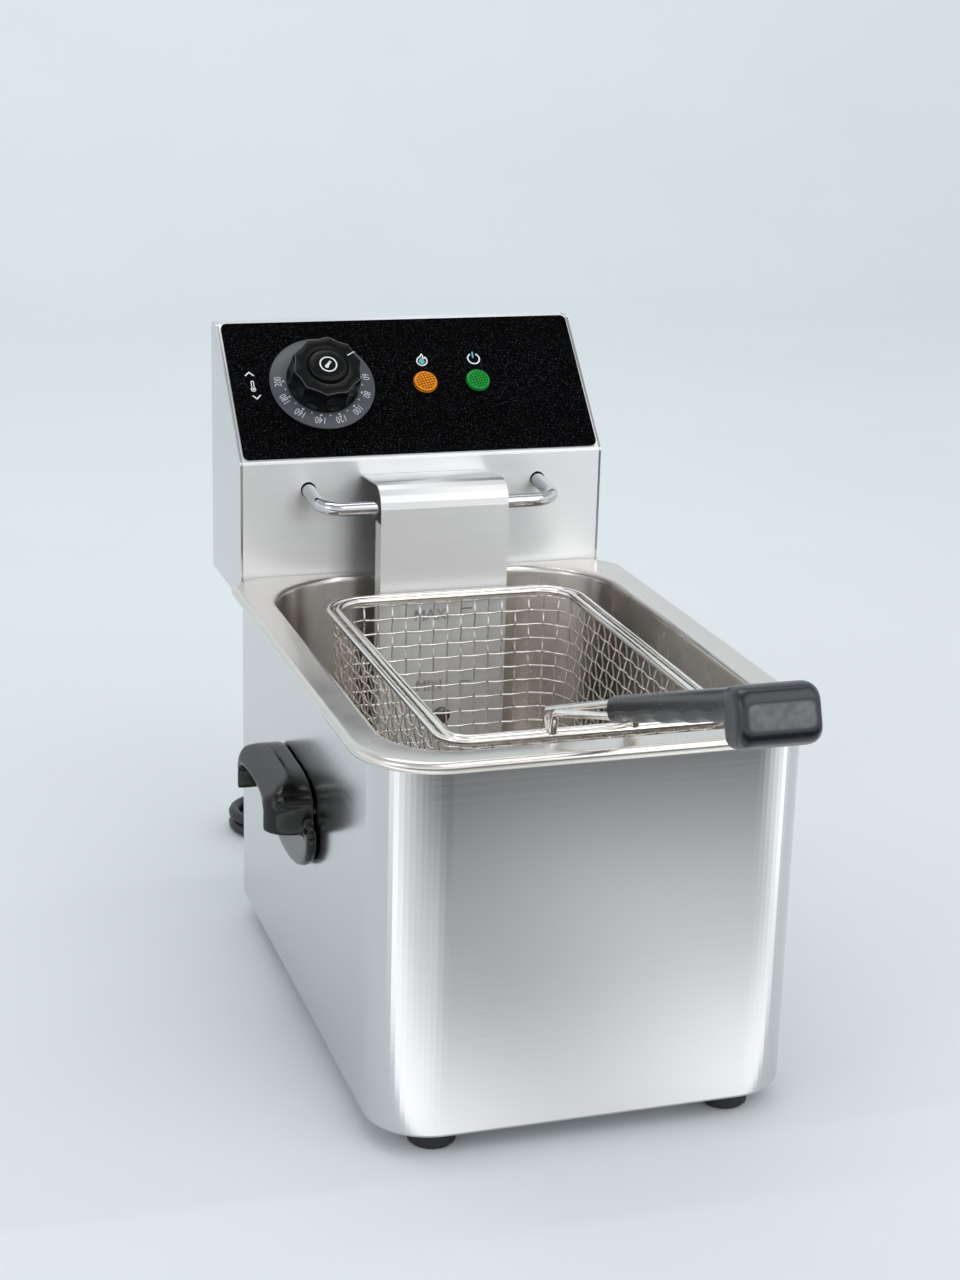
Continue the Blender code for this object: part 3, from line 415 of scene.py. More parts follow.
def side_run(x0, x1, y0, y1, z0, z1, steps=7):
    """Points strictly between the two ends of a straight side of the hank."""
    ease = [f * f * (3 - 2 * f) for f in (k / steps for k in range(1, steps))]
    return [(lerp(x0, x1, (k + 1) / steps), lerp(y0, y1, f), lerp(z0, z1, f))
            for k, f in enumerate(ease)]


drop = smooth_route([(60, 412.3, 205), (60.5, 424, 203.5), (63, 438, 191), (68, 449, 160),
                     (77, 459, 100), (88, 466, 52), (97, 468, 18), (94, HANK_Y + 24, SECOND + 3),
                     (82, HANK_Y + OUTER, SECOND + 0.4), (HANK_R + 12, HANK_Y + OUTER, SECOND)], 8)
tail = smooth_route([(HANK_R + 12, HANK_Y - OUTER, FIRST), (82, HANK_Y - OUTER, FIRST),
                     (97, HANK_Y - OUTER + 3, FIRST + 1), (109, HANK_Y - OUTER + 13, FIRST + 7),
                     (112, 445, FLOOR + 17.2), (112, 455.4, FLOOR + 18.2)], 6)
route = list(drop)
route += end_turn(HANK_R, 90, 90, OUTER, OUTER, SECOND, 1)[:1]
route += side_run(HANK_R, HANK_L, HANK_Y + OUTER, HANK_Y + OUTER, SECOND, SECOND)
route += end_turn(HANK_L, 90, 270, OUTER, OUTER, SECOND)
route += side_run(HANK_L, HANK_R, HANK_Y - OUTER, HANK_Y - INNER, SECOND, SECOND)
route += end_turn(HANK_R, -90, 90, INNER, INNER, SECOND)
route += side_run(HANK_R, HANK_L, HANK_Y + INNER, HANK_Y + INNER, SECOND, FIRST)
route += end_turn(HANK_L, 90, 270, INNER, INNER, FIRST)
route += side_run(HANK_L, HANK_R, HANK_Y - INNER, HANK_Y - INNER, FIRST, FIRST)
route += end_turn(HANK_R, -90, 90, INNER, OUTER, FIRST)
route += side_run(HANK_R, HANK_L, HANK_Y + OUTER, HANK_Y + OUTER, FIRST, FIRST)
route += end_turn(HANK_L, 90, 270, OUTER, OUTER, FIRST)
route += side_run(HANK_L, HANK_R + 12, HANK_Y - OUTER, HANK_Y - OUTER, FIRST, FIRST, 9)
route += tail
route = [at(*p) for p in route]
cord = wire("mains_cord", route, CORD_R, CORD, resolution=4)
piece(cord, "head", "power_cord", "cord_hank", "cord_tail", slot="cord_black")

tie_outline = rounded(-28.2, 28.2, -0.4, 14.8, [5.5] * 4, 6)
tie = skin("cord_tie", [[at(x, HANK_Y + u * k, max(v, 0.05) * k + (1 - k) * TIE_MID + FLOOR)
                         for u, v in tie_outline]
                        for x, k in ((-14, 0.975), (-14, 1.0), (-4, 1.0), (-4, 0.975))],
           PLUG_MAT, closed=True)
piece(tie, "head", slot="plug_black")

# ---------------------------------------------------------------- places on the object
HEAD_Y, FOLD_Z = 317.0, 264.0
SLOPE_LEN = math.hypot(68, 69)
SLOPE_DIR = Vector((0, 68, 69)) / SLOPE_LEN
SLOPE_OUT = Vector((1, 0, 0)).cross(SLOPE_DIR)
FACE = 1.1                                        # the fascia's face above the head's slope
KNOB_X, KNOB_S = -53.6, 51.3
GRIP_ANGLE = math.radians(19.3)
GRIP_START = (-13.0, 218.2)
GRIP_DIR = Vector((0, -math.cos(GRIP_ANGLE), math.sin(GRIP_ANGLE)))
GRIP_UP = Vector((0, math.sin(GRIP_ANGLE), math.cos(GRIP_ANGLE)))


def on_slope(x, s, n=0.0):
    """Point on the head's slope: s up the slope from its fold, n out of it."""
    return at(*(Vector((x, HEAD_Y, FOLD_Z)) + SLOPE_DIR * s + SLOPE_OUT * n))


def on_knob(u, v, n):
    """Point on the slope, measured from the knob's axis."""
    return on_slope(KNOB_X + u, KNOB_S + v, n)


def on_grip(x, t, v):
    """Point on the basket's grip: t along it from the wires, v square above its axis."""
    return at(*(Vector((x, *GRIP_START)) + GRIP_DIR * t + GRIP_UP * v))


def moulded(name, source, look, voxel, passes):
    """A copy of a solid with its edges melted round, as a moulded piece has them."""
    o = link(name, source.data.copy())
    o.data.materials.clear()
    o.data.materials.append(look)
    rm = o.modifiers.new("remesh", "REMESH")
    rm.mode = "VOXEL"
    rm.voxel_size = voxel / 1000
    sm = o.modifiers.new("smooth", "SMOOTH")
    sm.factor = 0.5
    sm.iterations = passes
    me = bpy.data.meshes.new_from_object(o.evaluated_get(bpy.context.evaluated_depsgraph_get()))
    o.modifiers.clear()
    o.data = me
    me.shade_smooth()
    return o


def formed(name, source, look):
    """A copy of a folded sheet whose bends are shaded round and whose flats stay flat."""
    o = link(name, source.data.copy())
    o.data.materials.clear()
    o.data.materials.append(look)
    o.data.shade_smooth()
    o.data.set_sharp_from_angle(angle=math.radians(32))
    wn = o.modifiers.new("weighted", "WEIGHTED_NORMAL")
    wn.keep_sharp = True
    wn.weight = 100
    return o


def stroke(points, width, place, n, closed=False):
    """Vertices and faces of a printed line of even width through 2-D points."""
    pts = [Vector(p) for p in points]
    count = len(pts)
    verts = []
    for i, p in enumerate(pts):
        a = pts[i - 1] if i or closed else None
        b = pts[(i + 1) % count] if i < count - 1 or closed else None
        d1 = (p - a).normalized() if a else (b - p).normalized()
        d2 = (b - p).normalized() if b else d1
        side = Vector((-(d1.y + d2.y), d1.x + d2.x)).normalized()
        k = width / 2 / max(side.dot(Vector((-d1.y, d1.x))), 0.4)
        verts += [place(*(p + side * k), n), place(*(p - side * k), n)]
    faces = [(2 * i, 2 * i + 1, (2 * i + 3) % (2 * count), (2 * i + 2) % (2 * count))
             for i in range(count if closed else count - 1)]
    return verts, faces


def printed(name, parts, look):
    """One mesh of several printed shapes, each (verts, faces)."""
    verts, faces = [], []
    for v, f in parts:
        faces += [tuple(i + len(verts) for i in face) for face in f]
        verts += v
    return mesh(name, verts, faces, look, 60)


def disc(cu, cv, r, place, n, steps=20):
    """A round dot for printed()."""
    ring = [place(cu + r * math.cos(a), cv + r * math.sin(a), n)
            for a in (2 * math.pi * k / steps for k in range(steps))]
    return ring, [tuple(range(steps))]


CAPITAL = 0.69                                    # height of a capital over the font's size


def lettering(text, height, place, depth=0.0, condense=1.0):
    """Verts and faces of generic marks, centred: place(u, v, w) sets each point."""
    cu = bpy.data.curves.new("marks", "FONT")
    cu.body = text
    cu.size = height / CAPITAL
    cu.align_x, cu.align_y = "CENTER", "CENTER"
    cu.resolution_u = 3
    cu.extrude = depth
    o = link("marks", cu)
    me = bpy.data.meshes.new_from_object(o.evaluated_get(bpy.context.evaluated_depsgraph_get()))
    out = [place(v.co.x * condense, v.co.y, v.co.z) for v in me.vertices]
    faces = [tuple(p.vertices) for p in me.polygons]
    bpy.data.objects.remove(o)
    bpy.data.meshes.remove(me)
    return out, faces


# ---------------------------------------------------------------- oil pan
PAN_HALF, PAN_FRONT, PAN_REAR = 101.0, 10.0, 308.0
FLANGE_HALF, FLANGE_FRONT, FLANGE_REAR, FLANGE_Z, PAN_FLOOR = 119.0, -7.5, 316.5, 196.5, 46.0
BEAD_R, PAN_EDGE_R = 3.3, 18.0


def pan_ring(half, z):
    """The pan's outline where its half width is half, between its wall and its flange."""
    f = min(max((half - PAN_HALF) / (FLANGE_HALF - PAN_HALF), 0), 1)
    less = max(PAN_HALF - half, 0)
    front = lerp(PAN_FRONT, FLANGE_FRONT, f) + less
    rear = lerp(PAN_REAR, FLANGE_REAR, f) - less
    r_front = lerp(36.0, 41.0, f) - less * 0.6
    r_rear = lerp(50.0, 18.0, f) - less * 0.6
    return [at(x, y, z) for x, y in rounded(-half, half, front, rear,
                                            [r_front, r_rear, r_rear, r_front], 20)]


def lining(points, t):
    """Both sides of a sheet of thickness t, whose given side follows points."""
    pts = [Vector(p) for p in points]
    other = []
    for i, p in enumerate(pts):
        a = (p - pts[i - 1]).normalized() if i else (pts[1] - p).normalized()
        b = (pts[i + 1] - p).normalized() if i < len(pts) - 1 else a
        n = (Vector((a.y, -a.x)) + Vector((b.y, -b.x))).normalized()
        other.append(p + n * t / max(n.dot(Vector((a.y, -a.x))), 0.3))
    return [tuple(p) for p in pts] + [tuple(p) for p in reversed(other)]


foot_half = PAN_HALF - 0.04 * (FLANGE_Z - PAN_FLOOR)
inside = (arc(foot_half - PAN_EDGE_R, PAN_FLOOR + PAN_EDGE_R, PAN_EDGE_R, -90, 0, 8)
          + [(PAN_HALF - 0.1, FLANGE_Z - 4)]
          + arc(PAN_HALF + 3.6, FLANGE_Z - 3.6, 3.6, 165, 90, 6)
          + arc(FLANGE_HALF - BEAD_R, FLANGE_Z - BEAD_R, BEAD_R, 90, -60, 12))
pan = skin("pan_drawn", [pan_ring(*p) for p in lining(inside, 1.0)], RIMMED, sharp=50)
piece(pan, "pan", "oil_pan", slot="pan_steel")

# ---------------------------------------------------------------- wire basket
RIM_HALF, RIM_FRONT, RIM_REAR, RIM_Z = 76.5, 21.5, 270.0, 193.9
FRONT_R, REAR_R, BASKET_FLOOR, FLOOR_R = 18.0, 27.0, 70.8, 9.0
MESH_IN, PITCH, CRIMP = 4.0, 8.35, 0.62


def rim_path(inset):
    """The basket's outline at the rim, an inset further in."""
    radii = [FRONT_R - inset, REAR_R - inset, REAR_R - inset, FRONT_R - inset]
    return rounded(inset - RIM_HALF, RIM_HALF - inset, RIM_FRONT + inset, RIM_REAR - inset,
                   radii, 12)


rim_out = wire("rim_wire_outer", [at(x, y, RIM_Z + 0.4) for x, y in rim_path(1.6)], 1.6, WIRE,
               cyclic=True)
rim_in = wire("rim_wire_inner", [at(x, y, RIM_Z) for x, y in rim_path(7.0)], 2.2, WIRE,
              cyclic=True)
piece(rim_out, "basket", "basket_rim_outer", slot="bright_wire")
piece(rim_in, "basket", "basket_rim_inner", slot="bright_wire")

# stations round the basket's rim: a point or corner centre, the outward direction, the radius
SUB = 4                                           # stations to each mesh opening
sides = [((-58.5, 21.5), (58.5, 21.5), 14), ((58.5, 39.5), -90, 18.0, 3),
         ((76.5, 39.5), (76.5, 243.0), 24), ((49.5, 243.0), 0, 27.0, 4),
         ((49.5, 270.0), (-49.5, 270.0), 12), ((-49.5, 243.0), 90, 27.0, 4),
         ((-76.5, 243.0), (-76.5, 39.5), 24), ((-58.5, 39.5), 180, 18.0, 3)]
stations = []
for side in sides:
    if len(side) == 3:
        a, b = Vector(side[0]), Vector(side[1])
        d = (b - a).normalized()
        stations += [(a.lerp(b, k / side[2] / SUB), Vector((d.y, -d.x)), None)
                     for k in range(side[2] * SUB)]
    else:
        c, start, r, n = side
        for k in range(n * SUB):
            t = math.radians(start + 90 * k / n / SUB)
            stations.append((Vector(c), Vector((math.cos(t), math.sin(t))), r))
TURNS = len(stations) // SUB


def spot(station, inset, z, off=0.0):
    """Point on the basket's wall, off further out."""
    p, out, r = station
    q = p - out * (inset - off) if r is None else p + out * (max(r - inset, 0.4) + off)
    return (q.x, q.y, z)


WALL_TOP, WALL_LOW = RIM_Z + 0.6, BASKET_FLOOR + FLOOR_R
LEAN = 5 / (RIM_Z - 70.3)                         # the wall's slope inward
LEAN_IN = LEAN * (RIM_Z - WALL_LOW)
STRAIGHT = WALL_TOP - WALL_LOW


def wall(t):
    """Inset and height t along the wall from its top, round into the floor."""
    if t <= STRAIGHT:
        z = WALL_TOP - t
        return MESH_IN + LEAN * max(RIM_Z - z, 0), z
    a = min((t - STRAIGHT) / FLOOR_R, math.pi / 2)
    return MESH_IN + LEAN_IN + FLOOR_R * (1 - math.cos(a)), WALL_LOW - FLOOR_R * math.sin(a)


FULL = STRAIGHT + FLOOR_R * math.pi / 2
T0 = 4.5                                          # the first level wire's distance from the top


def weave(x, phase):
    """How far a wire steps aside to pass the wires that cross it."""
    return CRIMP * math.cos(math.pi * (x + phase))


def wall_wire(i):
    """Upright wire i of the wall, from its top into the floor's edge."""
    n = round(FULL / PITCH * SUB)
    return [spot(stations[i * SUB % len(stations)], *wall(FULL * k / n),
                 -weave((FULL * k / n - T0) / PITCH, i)) for k in range(n + 1)]


paths = []
loops = int((FULL - T0) // PITCH) + 1
for j in range(loops):
    inset, z = wall(T0 + j * PITCH)
    paths.append(([spot(s, inset, z, weave(k / SUB, j)) for k, s in enumerate(stations)], True))
for i in range(TURNS):
    paths.append((wall_wire(i), False))
floor_in = MESH_IN + LEAN_IN + FLOOR_R
step_x, step_y = 117 / 14, 203.5 / 24
for k in range(25):                               # across the floor
    y = 39.5 + step_y * k
    half = RIM_HALF - floor_in
    paths.append(([(x, y, BASKET_FLOOR + weave(x / step_x, k)) for x in
                   (lerp(-half, half, f / 56) for f in range(57))], False))
for k in range(15):                               # along the floor
    x0 = -58.5 + step_x * k
    x1 = max(min(x0, 49.5), -49.5) if 1 <= k <= 13 else x0
    y0, y1 = RIM_FRONT + floor_in, (RIM_REAR - floor_in if 1 <= k <= 13 else 244.0)
    paths.append(([(lerp(x0, x1, (y - y0) / (y1 - y0)), y,
                    BASKET_FLOOR - weave((y - 39.5) / step_y, k - 7)) for y in
                   (lerp(y0, y1, f / 100) for f in range(101))], False))
basket = tubes("basket_weave", paths, 0.52, WIRE)
piece(basket, "basket", "basket_mesh", slot="bright_wire")

IN_Y, OUT_Y, OUT_Z = 33.0, RIM_FRONT + 1.6, RIM_Z + 2.3    # the rims that carry the handle
for side, word in ((-1, "left"), (1, "right")):
    start = Vector((side * 5.2, *GRIP_START))
    mouth = Vector((side * 5.4, *GRIP_START))
    corners = [(side * 20, IN_Y, 189), (side * 21, IN_Y + 0.6, 203.5),
               mouth + GRIP_DIR * 2 + GRIP_UP * 3, start + GRIP_DIR * 26 + GRIP_UP * 3,
               start + GRIP_DIR * 26 - GRIP_UP * 3.2, mouth + GRIP_DIR * 2 - GRIP_UP * 3.2,
               (side * 20.5, OUT_Y - 0.6, 206.0), (side * 21, OUT_Y, OUT_Z - 0.2)]
    o = wire("grip_wire_" + word, [at(*p) for p in bend(corners, 4.6, 8)], 2.0, WIRE)
    piece(o, "basket", "handle_wire_" + word, slot="bright_wire")


def grip_ring(t, half, top, low, r):
    """The grip's outline at t along it."""
    return [on_grip(x, t, v) for x, v in rounded(-half, half, low, top, [r] * 4, 8)]


LENGTH, STEM, HOLLOWS = 175.0, 157.0, 5           # the whole grip, and its stem
sections = [(0, 7.6, 5.2, -5.2, 3.5), (0.8, 8.6, 6.1, -6.1, 4.5), (2.2, 9, 6.5, -6.6, 5)]
for k in range(1, 60):                            # shallow finger hollows under the stem
    f = k / 60
    dip = 0.5 - 0.5 * math.cos(f * 2 * HOLLOWS * math.pi)
    sections.append((2.2 + f * (STEM - 6), 9, 6.5 + 0.9 * f, -6.6 - 0.9 * f + 1.2 * dip, 5))
sections += [(STEM - 2, 9.4, 7.4, -8.4, 5), (STEM - 1.2, 11.5, 7.4, -11.0, 5),
             (STEM - 0.4, 15.0, 7.5, -14.4, 5),
             (STEM + 0.6, 17.2, 7.7, -16.2, 5), (STEM + 2.4, 18.4, 8.1, -17.3, 5),
             (LENGTH - 9, 18.4, 8.2, -17.5, 5), (LENGTH - 6, 18.4, 7.6, -17.2, 5),
             (LENGTH - 3.6, 18.2, 6.6, -16.5, 5), (LENGTH - 1.8, 17.6, 5.0, -15.3, 5),
             (LENGTH - 0.7, 16.9, 3.2, -13.8, 4.5), (LENGTH, 15.6, 0.8, -11.4, 3.5)]
raw = skin("grip_raw", [grip_ring(*q) for q in sections], GRIP)
grip = moulded("grip_moulded", raw, GRIP, 0.6, 22)
bpy.data.objects.remove(raw)
piece(grip, "basket", "basket_grip", slot="grip_black")

# ---------------------------------------------------------------- casing, cover and bar
for word, body, node, look, slot_name in (
        ("housing_formed", "housing", "outer_housing", STEEL, "housing_steel"),
        ("cover_formed", "head", "element_cover", COVER, "cover_steel"),
        ("head_formed", "head", "head_shell", HEAD, "head_steel")):
    piece(formed(word, NODES[node], look), body, node, slot=slot_name)
o = wire("bar_polished", [at(*p) for p in bend([(-70, 333, 248.5), (-70, 281.5, 243.5),
                                                (70, 281.5, 243.5), (70, 333, 248.5)], 13, 18)],
         4.0, CHROME, resolution=10)
piece(o, "head", "hanging_bar", slot="bright_wire")

# ---------------------------------------------------------------- side handles, plug
for word in ("left", "right"):
    o = moulded("hood_" + word, NODES["side_handle_" + word], GLOSS, 0.75, 50)
    piece(o, "housing", "side_handle_" + word, slot="handle_black")
o = moulded("plug_moulded", NODES["mains_plug"], PLUG_MAT, 0.7, 4)
piece(o, "head", "mains_plug", slot="plug_black")

# ---------------------------------------------------------------- dial and knob
knob_at = on_knob(0, 0, 0)
DIAL_TOP, DIAL_FLAT = 4.6, 22.4                   # height and radius where the printed cone starts
DIAL_EDGE, DIAL_SLOPE = 30.7, 0.16                # where it ends, and its fall


def dial_face(r):
    """Height of the printed cone at radius r."""
    return DIAL_TOP - DIAL_SLOPE * max(r - DIAL_FLAT, 0)


dial = turned("dial_plate",
              [(1.7, 30.9), (1.7, 31.2), (2.4, 31.5), (2.8, 31.4),
               (dial_face(DIAL_EDGE), DIAL_EDGE), (DIAL_TOP, DIAL_FLAT), (DIAL_TOP, 3.4),
               (1.7, 3.4)],
              knob_at, SLOPE_OUT, DIAL, 128, 25)
piece(dial, "knob", "dial_ring", slot="dial_grey")

SCALE_START, SCALE_STEP = 6, 27                   # degrees: the scale runs clockwise
NUMBER_R, DOT_R = 26.6, 23.5
marks = []
for k, value in enumerate(range(60, 201, 20)):
    a = math.radians(SCALE_START - SCALE_STEP * k)
    du, dv = Vector((math.cos(a), math.sin(a))), Vector((math.sin(a), -math.cos(a)))

    def on_dial(u, v, w, du=du, dv=dv):
        q = du * (NUMBER_R + v) + dv * u
        return on_knob(q.x, q.y, dial_face(q.length) + 0.05)
    marks.append(lettering(str(value), 4.1, on_dial, condense=0.78))
for k in range(15):
    a = math.radians(SCALE_START - SCALE_STEP / 2 * k)
    marks.append(disc(DOT_R * math.cos(a), DOT_R * math.sin(a), 0.50 if k % 2 else 0.78, on_knob,
                      dial_face(DOT_R) + 0.06, 14))
o = printed("dial_numbers", marks, DIAL_PRINT)
piece(o, "knob")

GRIP_R, KNOB_TOP, RIDGES = 21.9, 21.0, 10
POINTER_ANGLE = 0.49                              # radians


def knob_ring(n, r, depth, steps=240):
    """Outline of the grip: ridges with a finger hollow of the given depth between each two."""
    points = []
    for i in range(steps):
        a = 2 * math.pi * i / steps
        dip = depth * (1.06 * abs(math.sin(RIDGES / 2 * (a - math.radians(80)))) - 0.06)
        dip = max(dip, 0.0)
        points.append(on_knob((r - dip) * math.cos(a), (r - dip) * math.sin(a), n))
    return points


knob = skin("knob_fluted", [knob_ring(*p) for p in (
    (4.9, 3.4, 0), (4.9, GRIP_R - 0.3, 0.0), (5.2, GRIP_R, 0.0), (6.2, GRIP_R, 0.25),
    (7.2, GRIP_R - 0.1, 0.9), (8.4, GRIP_R - 0.3, 1.5), (10.5, GRIP_R - 0.35, 1.6),
    (19.6, GRIP_R - 1.0, 1.5), (20.5, GRIP_R - 1.15, 1.45), (20.85, GRIP_R - 1.4, 1.4),
    (KNOB_TOP, GRIP_R - 1.8, 1.35), (KNOB_TOP, 12.9, 0), (20.7, 12.2, 0), (20.0, 11.8, 0),
    (20.0, 3.4, 0))],
            KNOB, closed=True, sharp=50)
piece(knob, "knob", "knob_grip", slot="handle_black")
cap = turned("knob_button", [(20.2, 3.2), (20.2, 11.3), (21.2, 11.3), (21.9, 11.0), (22.4, 10.2),
                             (22.65, 8.0), (22.7, 5.0), (22.7, 0.02)],
             knob_at, SLOPE_OUT, KNOB, 96, 40)
piece(cap, "knob", "knob_cap", slot="handle_black")
# A thin light grey ring along the knob's top edge: a painted highlight.
edge = [knob_ring(20.86 + h, GRIP_R - 1.50 + w, 1.38)
        for h, w in ((0, 0), (0.07, 0.03), (0.10, -0.12), (0.03, -0.14))]
o = skin("knob_edge_painted_highlight", edge, KNOB_PAINTED_HIGHLIGHT, closed=True, sharp=50)
piece(o, "knob")
o = prism("knob_pointer", [(14.6, -0.40), (19.8, -0.32), (19.8, 0.32), (14.6, 0.40)],
          lambda u, v, w: on_knob(u * math.cos(POINTER_ANGLE) - v * math.sin(POINTER_ANGLE),
                                  u * math.sin(POINTER_ANGLE) + v * math.cos(POINTER_ANGLE), w),
          20.6, 21.08, DIAL_PRINT)
piece(o, "knob")

turn = math.radians(-38)                          # how the sign on the cap leans
CAP_INK = 22.76                                   # its height above the slope


def tilted(u, v, w):
    """Place a mark on the cap, leaning to the right."""
    return on_knob(u * math.cos(turn) - v * math.sin(turn), u * math.sin(turn) + v * math.cos(turn),
                   w)


def thermometer(s):
    """Outline of a thermometer with a bulb, at scale s."""
    return ([(0.55 * s, -1.0 * s)] + [(0.55 * s, 2.2 * s)] + arc(0, 2.2 * s, 0.55 * s, 0, 180, 8)
            + [(-0.55 * s, -1.0 * s)] + arc(0, -1.9 * s, 1.05 * s, 122, 418, 22))


icon = [stroke(arc(0, 0, 4.85, 0, 360, 48)[:-1], 0.8, on_knob, CAP_INK, True),
        stroke(thermometer(0.88), 0.5, tilted, CAP_INK, True),
        disc(0, -1.8, 0.6, tilted, CAP_INK), stroke([(0, -1.6), (0, 1.0)], 0.5, tilted, CAP_INK)]
o = printed("cap_icon", icon, PRINT)
piece(o, "knob")

# ---------------------------------------------------------------- fascia marks
INK = FACE + 0.04
up = [(-98.3, 59.4), (-95.8, 61.8), (-93.2, 59.2)]
down = [(-96.0, 45.6), (-93.6, 43.2), (-91.2, 45.8)]
scale_icon = [stroke(up, 0.7, on_slope, INK), stroke(down, 0.7, on_slope, INK),
              stroke([(x - 94.8, y + 52.2) for x, y in thermometer(1.25)], 0.5, on_slope, INK,
                     True),
              disc(-94.8, 50.0, 0.7, on_slope, INK)]
FLAME_X, FLAME_S = 10.2, 66.2                     # the flame's centre
flame = [(0.6, 4.8), (1.3, 3.6), (1.0, 2.3), (1.7, 1.3), (2.4, 2.5), (3.3, 1.2), (3.4, -0.8),
         (2.6, -2.4), (1.2, -3.4), (-0.6, -3.6), (-2.2, -2.8), (-3.1, -1.2), (-2.9, 0.6),
         (-1.8, 2.2), (-0.4, 3.2)]
round_flame = smooth_route([(x, y, 0) for x, y in flame + flame[:1]], 0.25)
fine_flame = [tuple(p.xy) for p in round_flame][:-1]
power = arc(42.9, 66.4, 3.6, 118, 422, 40)
scale_icon += [stroke([(x * 0.95 + FLAME_X, y * 0.95 + FLAME_S) for x, y in fine_flame], 0.75,
                      on_slope, INK, True), stroke(power, 0.85, on_slope, INK)]
o = printed("fascia_icons", scale_icon, PRINT)
piece(o, "head")
inner = [(0.2, 2.0), (0.9, 0.6), (1.9, -0.4), (1.6, -1.9), (0.3, -2.6), (-1.2, -2.2),
         (-1.9, -0.9), (-1.4, 0.6), (-0.6, 1.4)]
teal = [([on_slope(x + FLAME_X, y + FLAME_S, INK + 0.01) for x, y in inner],
         [tuple(range(len(inner)))]),
        stroke([(42.6, 66.9), (42.9, 71.4)], 0.9, on_slope, INK)]
o = printed("fascia_accents", teal, PRINT_TEAL)
piece(o, "head")

# ---------------------------------------------------------------- pilot lamps
LAMP_S = 50.3                                     # up the slope
LENS_STEPS, LENS_RIM, LENS_GRID = 120, 5.9, 1.75
LENS_TILT = math.radians(12)
DEEP = 0.30                                       # a groove is where the waffle is lower; grooves are painted darker as shade


def waffle(r, a):
    """0 in the grooves of the lens's grid and 1 on its points."""
    u, v = r * math.cos(a - LENS_TILT), r * math.sin(a - LENS_TILT)
    return abs(math.sin(math.pi * u / LENS_GRID)) * abs(math.sin(math.pi * v / LENS_GRID))


def relief(r, a):
    """Dome with a grid of small pyramids inside a smooth rim."""
    n = FACE + 1.5 + 1.35 * math.sqrt(max(1 - (r / 7.3) ** 2, 0))
    if r < LENS_RIM:
        n += 0.55 * waffle(r, a) * min((LENS_RIM - r) / 0.6, 1) - 0.25
    return n


radii = [7.3, 7.15, 6.8, 6.3, 6.0] + [LENS_RIM - 5.8 * k / 44 for k in range(45)]
around = [2 * math.pi * i / LENS_STEPS for i in range(LENS_STEPS)]
for word, x, look, shade_look in (("heating", 9.4, AMBER, AMBER_SHADE),
                            ("power", 42.2, GREEN, GREEN_SHADE)):
    def lens_point(r, a, n, x=x):
        return on_slope(x + r * math.cos(a), LAMP_S + r * math.sin(a), n)

    rings = [[lens_point(r, a, FACE + n) for a in around]
             for r, n in ((7.2, 0.2), (7.4, 0.5), (7.4, 1.2))]
    rings += [[lens_point(r, a, relief(r, a)) for a in around] for r in radii]
    o = skin("lens_" + word, rings, look, sharp=50)
    o.data.materials.append(shade_look)
    # Faces in the grooves and at the outer edge take the darker colour: painted shade.
    for q in range(len(radii) - 1):
        mid = (radii[q] + radii[q + 1]) / 2
        for i in range(LENS_STEPS):
            groove = mid < LENS_RIM and waffle(mid, 2 * math.pi * (i + 0.5) / LENS_STEPS) < DEEP
            if groove or mid > 6.9:
                o.data.polygons[(q + 3) * LENS_STEPS + i].material_index = 1
    piece(o, "head", "lamp_lens_" + word, slot="lamp_amber" if word == "heating" else "lamp_green")

# ---------------------------------------------------------------- level marks on the cover
COVER_Y = 273.5


def on_cover(x, z):
    """A placing function for marks on the cover's face."""
    return lambda u, v, w: at(x + u, COVER_Y - 0.25 - w, z + v)


levels = []
for text, z, dash in (("MAX", 180.0, 183.0), ("MIN", 137.0, 138.6)):
    levels.append(lettering(text, 6.6, on_cover(-8, z), 0.25, 0.95))
    levels.append(([at(14.0 + u * half, COVER_Y - n, dash + v * rise)
                    for half, rise, n in ((3.5, 0.6, 0.1), (3.2, 0.4, 0.6))
                    for u, v in ((-1, -1), (1, -1), (1, 1), (-1, 1))],
                   [(4, 5, 6, 7), (0, 1, 5, 4), (1, 2, 6, 5), (2, 3, 7, 6), (3, 0, 4, 7)]))
# The raised marks are painted darker than the cover: painted shade.
o = printed("level_marks", levels, MARK_PAINTED_SHADE)
piece(o, "head")

# ---------------------------------------------------------------- stage and light
STAGE = material("studio_paper", (0.805, 0.853, 0.868), 0.75, grain=(3, 3, 3), tint=0.01,
                 Specular_IOR_Level=0.2)
SWEEP_Y, SWEEP_R = 2.2, 1.6                       # metres: where the floor turns up, and how wide
sweep = [(-3.2, 0.0), (SWEEP_Y, 0.0)]
sweep += [(SWEEP_Y + SWEEP_R * math.sin(math.radians(a)),
           SWEEP_R - SWEEP_R * math.cos(math.radians(a))) for a in range(6, 91, 6)] + [(3.8, 4.5)]
floor = mesh("stage_sweep", [(x, y, z - 0.0004) for y, z in sweep for x in (-4.5, 4.5)],
             [(2 * k, 2 * k + 1, 2 * k + 3, 2 * k + 2) for k in range(len(sweep) - 1)], STAGE, 60)

